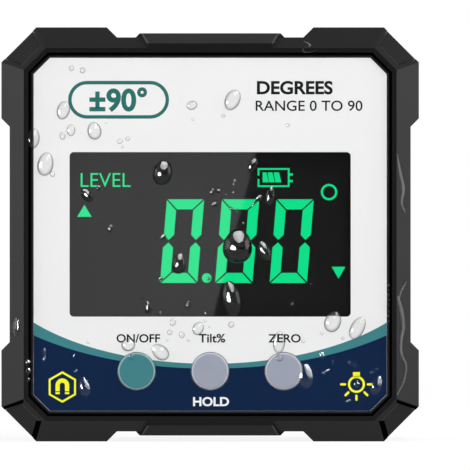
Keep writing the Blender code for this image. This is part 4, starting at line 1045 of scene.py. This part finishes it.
# %% Drops on the window
window_drops = [
    (-6.92, 9.00, 2.80, 3.70, 15, 0.10), (-17.97, 5.72, 1.46, 2.19, -40),
    (-16.22, 6.77, 0.73, 0.88), (-14.61, 0.83, 0.73, 1.17, 20),
    (-6.92, -0.36, 1.02, 0.88), (-4.53, -4.22, 2.04, 3.07, 8, 0.15),
    (-9.08, -10.67, 0.95, 1.90, 0, 0.10), (-3.27, -10.23, 0.66, 1.17, 10),
    (-7.24, -6.45, 0.73, 0.58, -20), (6.16, 10.06, 1.31, 2.19, 30),
    (0.30, 6.25, 0.66, 1.17, 5), (1.15, 6.34, 0.80, 0.73),
    (0.60, 4.40, 1.02, 0.80, 20), (7.12, 5.31, 1.02, 1.17, 40),
    (8.73, 5.56, 1.31, 2.92, 10, 0.10), (3.11, 3.71, 0.58, 0.58),
    (4.80, 1.56, 0.44, 0.44), (4.00, -1.69, 4.25, 5.05, 4, 0.15),
    (7.93, -2.45, 1.75, 3.07, -25), (3.11, -9.34, 2.77, 5.20, -10, 0.15),
    (14.73, -7.26, 0.44, 0.44), (12.02, -10.15, 0.44, 0.51),
    (-7.26, -11.42, 0.44, 0.51), (-0.20, -6.44, 0.58, 0.58),
    (3.63, 7.86, 0.40, 0.40), (3.47, 7.30, 0.44, 0.51, 10),
    (3.31, 6.00, 0.51, 0.36), (2.33, 5.84, 0.40, 0.36),
    (3.90, 3.50, 0.51, 0.51), (6.45, 4.55, 0.44, 1.24, 40),
    (-9.96, -9.30, 0.40, 0.40), (-0.75, -11.50, 0.36, 0.40),
]
drops_piece("drops_on_window", window_drops, lambda x, z: PANE_FRONT, "window")

# %% [markdown]
# On the printed film the water is clear. A drop there is as pale as the film, with a thin rim of
# painted grey shade, and over the navy foot only its bright patches show.

# %% Drops on the film
film_drops = [
    (-21.40, 18.10, 1.90, 2.77, 15), (-20.29, 15.21, 1.24, 1.75),
    (-21.51, 14.38, 0.88, 1.17), (-16.89, 15.13, 2.04, 2.63, -10, 0.1),
    (-24.01, 10.28, 2.34, 3.50, 10, 0.1), (-22.99, 8.79, 0.73, 0.88, -20),
    (-15.18, 16.38, 0.36, 0.44), (-11.94, -16.10, 2.04, 1.90),
    (-7.29, -17.14, 2.04, 2.92, -50, 0.1), (-1.74, -13.71, 1.61, 2.04, 25),
    (-4.12, -14.63, 0.80, 1.02, -10), (-5.88, -14.25, 0.73, 0.88),
    (-5.42, -12.76, 0.88, 1.24, 20), (-6.26, -15.37, 0.36, 0.58, 20),
    (-3.18, -15.46, 0.44, 0.44), (-24.32, -16.95, 0.73, 0.58),
    (-24.18, -18.19, 0.44, 0.88), (-19.86, -17.70, 0.44, 0.58),
    (-18.18, -16.95, 0.36, 0.36), (-17.81, -15.74, 0.44, 0.44),
    (-18.28, -22.35, 1.90, 3.07, -10, 0.1), (-19.58, -19.93, 0.44, 0.58),
    (10.05, -15.70, 1.75, 3.30, 4, 0.1), (13.95, -20.70, 2.60, 3.95, -5, 0.05),
    (16.29, -17.64, 1.02, 1.31, -20), (17.84, -18.64, 0.44, 0.80, 25),
    (17.11, -19.80, 0.73, 0.66, 20), (16.59, -20.31, 0.47, 0.73),
    (20.24, -18.72, 0.44, 0.44), (21.16, -19.36, 0.36, 0.51),
    (23.65, -20.06, 0.73, 0.47, -20), (24.27, -19.64, 0.44, 0.44),
    (24.30, -22.09, 1.90, 3.07, 20, 0.1), (19.94, -24.41, 0.44, 0.44),
    (20.41, -24.18, 0.29, 0.36), (21.39, -21.84, 1.02, 1.17),
    (-13.15, 13.59, 0.88, 0.73, -20), (-12.04, 13.97, 0.66, 0.66),
    (-12.76, 12.76, 0.44, 0.44), (-2.66, 18.83, 1.61, 1.31, -20),
    (-2.50, 16.79, 0.51, 0.44), (3.27, 19.62, 2.19, 3.21, 25),
    (1.93, 17.32, 0.58, 0.58), (11.31, 15.93, 0.58, 0.58),
    (-20.21, 24.24, 0.73, 0.88), (-18.61, 23.93, 0.88, 0.88),
    (17.90, -12.70, 2.40, 3.20, 22, 0.1), (21.49, -13.64, 2.04, 3.65, 28, 0.05),
    (19.33, -15.13, 0.51, 0.51), (16.28, -14.45, 0.58, 0.47),
    (-0.16, -13.42, 0.36, 0.44), (3.07, -13.14, 0.88, 0.95, 20),
    (13.58, -15.56, 0.58, 0.51), (-25.87, 14.00, 2.04, 3.07, 10, 0.1),
    (-0.75, -12.62, 0.51, 0.44),
]
over_foot = [drop for drop in film_drops if drop[1] < edge_height(STRIPE_UPPER, drop[0])]
over_white = [drop for drop in film_drops if drop not in over_foot]
drops_piece("drops_on_film", over_white, lambda x, z: FILM_FRONT)
drops_piece("drops_on_foot", over_foot, lambda x, z: FILM_FRONT, "foot")

# %% [markdown]
# A drop on a key has to move with its key, so it is a piece of its own and rides that body.

# %% Drops on the keys
for key, drops in (("on_off", [(-11.45, -17.88, 0.80, 0.90, 20, 0.0)]),
                   ("zero", [(10.10, -17.98, 1.10, 1.05, 15, 0.0)])):
    drops_piece(f"drops_on_{key}_key", drops, lambda x, z: KEY_FRONT, body=KEYS[key])

# %% [markdown]
# On the sloping sides of the frame the water runs down in thin threads. A thread follows a few
# places down the slope, and is made as a curve with a round section that is sunk by half and
# pressed flatter. Its depth at each place is worked out from the slope between the ridge and the
# outer edge. A few drops hang at the left of the frame, and a row of tiny ones on the rim of the
# cover at the right.

# %% Threads and drops on the frame
RIDGE = 27.17 * MM
SLOPE = 3.2 / 3.33
THREAD_RISE = 0.25
RIM_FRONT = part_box("front_cover")[0].y
water["smear"] = clear("water_smeared", "d8d8d8", 0.4, 1.33)


def side_slope(x, z):
    """Depth of the frame's front at a place: flat inside the ridge, falling away outside."""
    outside = max(0.0, abs(x) - RIDGE, abs(z - MIDDLE) - RIDGE)
    return FRAME_FRONT + outside * SLOPE


def water_thread(name, radius, *places):
    """A thin thread of water. A place is x and z in millimetres, and a share of the radius."""
    curve = bpy.data.curves.new(name, "CURVE")
    curve.dimensions = "3D"
    curve.bevel_depth = 1.0
    curve.bevel_resolution = 2
    curve.use_fill_caps = True
    curve.resolution_u = 6
    spline = curve.splines.new("BEZIER")
    spline.bezier_points.add(len(places) - 1)
    for point, (x, z, share) in zip(spline.bezier_points, places):
        place_x, place_z = on_face(x, z)
        point.co = (place_x, side_slope(place_x, place_z), place_z)
        point.radius = radius * MM * share
        point.handle_left_type = "AUTO"
        point.handle_right_type = "AUTO"
    mesh = mesh_from(name, curve)
    for vert in mesh.vertices:
        carrier = side_slope(vert.co.x, vert.co.z)
        vert.co.y = carrier + (vert.co.y - carrier) * THREAD_RISE
    wet_piece(name, mesh, "smear")


water_thread("water_thread_upper", 0.30, (27.2, 11.7, 0.4), (27.7, 8.7, 1.1), (28.1, 6.5, 1.1),
             (27.9, 4.5, 0.8), (28.4, 3.2, 0.4))
water_thread("water_thread_lower", 0.32, (27.25, -9.0, 0.6), (27.5, -10.0, 1.2),
             (27.8, -11.3, 1.3), (28.1, -13.5, 1.1), (27.8, -15.5, 0.9), (27.9, -17.7, 0.9),
             (28.5, -19.0, 0.7), (28.4, -20.9, 0.45), (27.3, -23.4, 0.3))
water_thread("water_thread_branch", 0.16, (27.5, -9.4, 0.9), (27.9, -8.2, 0.8), (28.6, -7.0, 0.4))
water_thread("water_thread_top", 0.10, (13.7, 28.2, 0.5), (14.6, 27.5, 1.0), (13.5, 26.85, 1.0),
             (14.8, 26.65, 0.9), (15.6, 26.9, 0.5))
frame_drops = [(-28.30, -13.50, 1.15, 2.85, 0, 0.1), (-26.60, -18.65, 0.90, 0.95),
               (-26.50, -19.90, 0.75, 1.00), (-26.50, -21.15, 0.55, 0.75)]
drops_piece("drops_on_frame", frame_drops, side_slope, "foot")
rim_drops = [(26.05, -7.40, 0.35, 0.55), (26.10, -8.15, 0.30, 0.40),
             (26.00, -8.85, 0.35, 0.60, 15), (26.10, -9.60, 0.30, 0.45),
             (26.05, -10.35, 0.35, 0.60, -15), (26.10, -11.15, 0.30, 0.45),
             (26.00, -11.90, 0.35, 0.55, 10), (26.05, -12.70, 0.30, 0.40)]
drops_piece("drops_on_rim", rim_drops, lambda x, z: RIM_FRONT, "smear")
print("threads of water: 4")

# %% [markdown]
# The studio is a pale floor in a pale room. To the camera, and in clear or shiny pieces, floor
# and room are white, and the floor still shows the gauge's shadow. The walls at the sides are
# what the sloping sides of the frame mirror, and the room is dim behind the camera, so that the
# black front stays black.

# %% Floor and room
FLOOR_RADIUS = 0.6
FLOOR_PAINT = (0.8, 0.8, 0.8, 1.0)
SHADOW_REACH = (0.12, 0.5)
SHADED_PAINT = 0.16
SHADED_GLOW = 0.88
ROOM_DEPTH = (-0.8, 0.1)
MIRRORED = (0.04, 1.0)
SOFT = (0.18, 0.5)


def seen_by(tree, *kinds):
    """A factor that is 1 for the kinds of ray that are named."""
    rays = add_node(tree, "LightPath").outputs
    total = rays[kinds[0]]
    for kind in kinds[1:]:
        total = calc(tree, "MAXIMUM", total, rays[kind])
    return total


def bare_material(name):
    """A material whose surface is still to be made, and its node tree."""
    material, tree, shader = new_material(name)
    tree.nodes.remove(shader)
    return material, tree


def pale_floor():
    """Pale paint that is seen as white, apart from the shadow close to the gauge."""
    material, tree = bare_material("pale_floor")
    reach = length(tree, place_on(tree))
    shade = add_node(tree, "BsdfDiffuse",
                     Color=spread_map(tree, reach, *SHADOW_REACH, SHADED_PAINT, 0.0))
    glow = add_node(tree, "Emission",
                    Strength=spread_map(tree, reach, *SHADOW_REACH, SHADED_GLOW, 1.0))
    seen = add_node(tree, "AddShader", shade.outputs[0], glow.outputs[0])
    paint = add_node(tree, "BsdfDiffuse", Color=FLOOR_PAINT)
    sight = seen_by(tree, "Is Camera Ray", "Is Glossy Ray", "Is Transmission Ray")
    show(tree, add_node(tree, "MixShader", sight, paint.outputs[0], seen.outputs[0]))
    return material


floor_bm = bmesh.new()
bmesh.ops.create_circle(floor_bm, cap_ends=True, segments=96, radius=FLOOR_RADIUS)
bmesh.ops.translate(floor_bm, verts=floor_bm.verts, vec=(0, 0, solid_box[0].z))
floor_mesh = mesh_of("floor", floor_bm)
floor_mesh.materials.append(pale_floor())
floor = in_scene("floor", floor_mesh)


def room():
    """A white room behind and beside the gauge, dim behind the camera."""
    world = bpy.data.worlds.new("pale_room")
    world.use_nodes = True
    tree = world.node_tree
    depth = place_parts(tree, "Generated")["Y"]
    light = add_node(tree, "Mix", Factor=seen_by(tree, "Is Glossy Ray", "Is Transmission Ray"),
                     A=spread_map(tree, depth, *ROOM_DEPTH, *SOFT),
                     B=spread_map(tree, depth, *ROOM_DEPTH, *MIRRORED))
    strength = add_node(tree, "Mix", Factor=seen_by(tree, "Is Camera Ray"),
                        A=light.outputs["Result"], B=1.0)
    fill(tree, tree.nodes["Background"], Color=(1, 1, 1, 1), Strength=strength.outputs["Result"])
    bpy.context.scene.world = world


room()
print("floor", 2 * FLOOR_RADIUS, "m across")

# %% [markdown]
# Four lamps light it: a large soft one at each side, which the side slopes mirror, and two soft
# ones in front, a high one at the right and a lower one at the left. Eight more shine on the
# water alone: two on the drops on the window, two on those on the white film and the keys, three
# on those on the navy foot and at the left of the frame, and one on the threads and the rim's
# drops. They put soft patches and white spots in the drops. Such a lamp is a studio's trick, and
# Blender's light linking does it. A white card stands behind the camera, and its slanting edge
# splits the window into a paler left part and a darker right part.

# %% Lamps and card
GLARE_EDGE = ((6.72, 11.93), (0.37, -12.06))
CARD_BEHIND = 0.06
CARD_TOP = 0.08
CARD_LEFT = -0.14
CARD_GLOW = 0.62


def soft_lamp(name, place, size, power, only_for=None, beam=180):
    """An area lamp that faces the gauge, seen neither by the camera nor through clear pieces."""
    data = bpy.data.lights.new(name, "AREA")
    data.shape = "RECTANGLE" if only_for is None else "ELLIPSE"
    data.spread = math.radians(beam)
    data.size, data.size_y = size
    data.energy = power
    lamp = in_scene(name, data)
    lamp.location = place
    turned_to = Vector((0, 0, MIDDLE)) - lamp.location
    lamp.rotation_euler = turned_to.to_track_quat("-Z", "Y").to_euler()
    lamp.visible_camera = False
    lamp.visible_transmission = False
    if only_for is not None:
        lamp.light_linking.receiver_collection = wet[only_for]


wet = {}
for kind, material in water.items():
    wet[kind] = bpy.data.collections.new("wet_" + kind)
    for thing in bpy.context.scene.objects:
        if thing.type == "MESH" and thing.active_material == material:
            wet[kind].objects.link(thing)
soft_lamp("side_left", (-0.60, -0.06, 0.08), (0.5, 0.6), 3.0)
soft_lamp("side_right", (0.60, -0.06, 0.08), (0.5, 0.6), 3.0)
soft_lamp("front_high", (0.20, -0.45, 0.50), (0.30, 0.30), 1.9)
soft_lamp("front_low", (-0.45, -0.45, 0.12), (0.25, 0.20), 0.7)
soft_lamp("window_sky", (0.06, -0.14, 0.46), (0.70, 0.78), 11.0, "window", 100)
soft_lamp("window_spot", (-0.12, -0.21, 0.02), (0.19, 0.19), 8.0, "window")
soft_lamp("film_patch", (0.30, -0.10, 0.42), (0.36, 0.36), 4.0, "film")
soft_lamp("film_spot", (-0.26, -0.10, 0.03), (0.20, 0.20), 7.0, "film")
soft_lamp("foot_patch", (0.32, -0.20, 0.44), (1.30, 1.30), 34.0, "foot", 100)
soft_lamp("foot_core", (0.14, -0.16, 0.46), (0.30, 0.30), 7.0, "foot")
soft_lamp("foot_spot", (-0.24, -0.16, 0.03), (0.20, 0.20), 6.0, "foot")
soft_lamp("smear_light", (0.49, -0.05, 0.20), (0.50, 0.60), 6.5, "smear")


def glare_card():
    """A white card behind the camera, seen only as a reflection in the window."""
    mirror_run = PANE_FRONT - camera.location.y
    reach = (2 * mirror_run + CARD_BEHIND) / mirror_run
    (high_x, high_z), (low_x, low_z) = [(x * reach * MM, z * reach * MM) for x, z in GLARE_EDGE]
    slope = (high_x - low_x) / (high_z - low_z)
    corners = [(CARD_LEFT, CARD_TOP), (high_x + (CARD_TOP - high_z) * slope, CARD_TOP),
               (low_x + (-CARD_TOP - low_z) * slope, -CARD_TOP), (CARD_LEFT, -CARD_TOP)]
    bm = bmesh.new()
    bm.faces.new([bm.verts.new((x, 0, z)) for x, z in corners])
    bmesh.ops.translate(bm, verts=bm.verts, vec=(0, camera.location.y - CARD_BEHIND, MIDDLE))
    mesh = mesh_of("glare_card", bm)
    material, tree = bare_material("card_white")
    show(tree, add_node(tree, "Emission", Strength=CARD_GLOW))
    mesh.materials.append(material)
    card = in_scene("glare_card", mesh)
    card.visible_camera = False
    card.visible_diffuse = False
    card.visible_shadow = False


glare_card()
print("lamps: 12, card: 1")

# %% [markdown]
# Last, the scene is brought up to date.

# %% Update
bpy.context.view_layer.update()
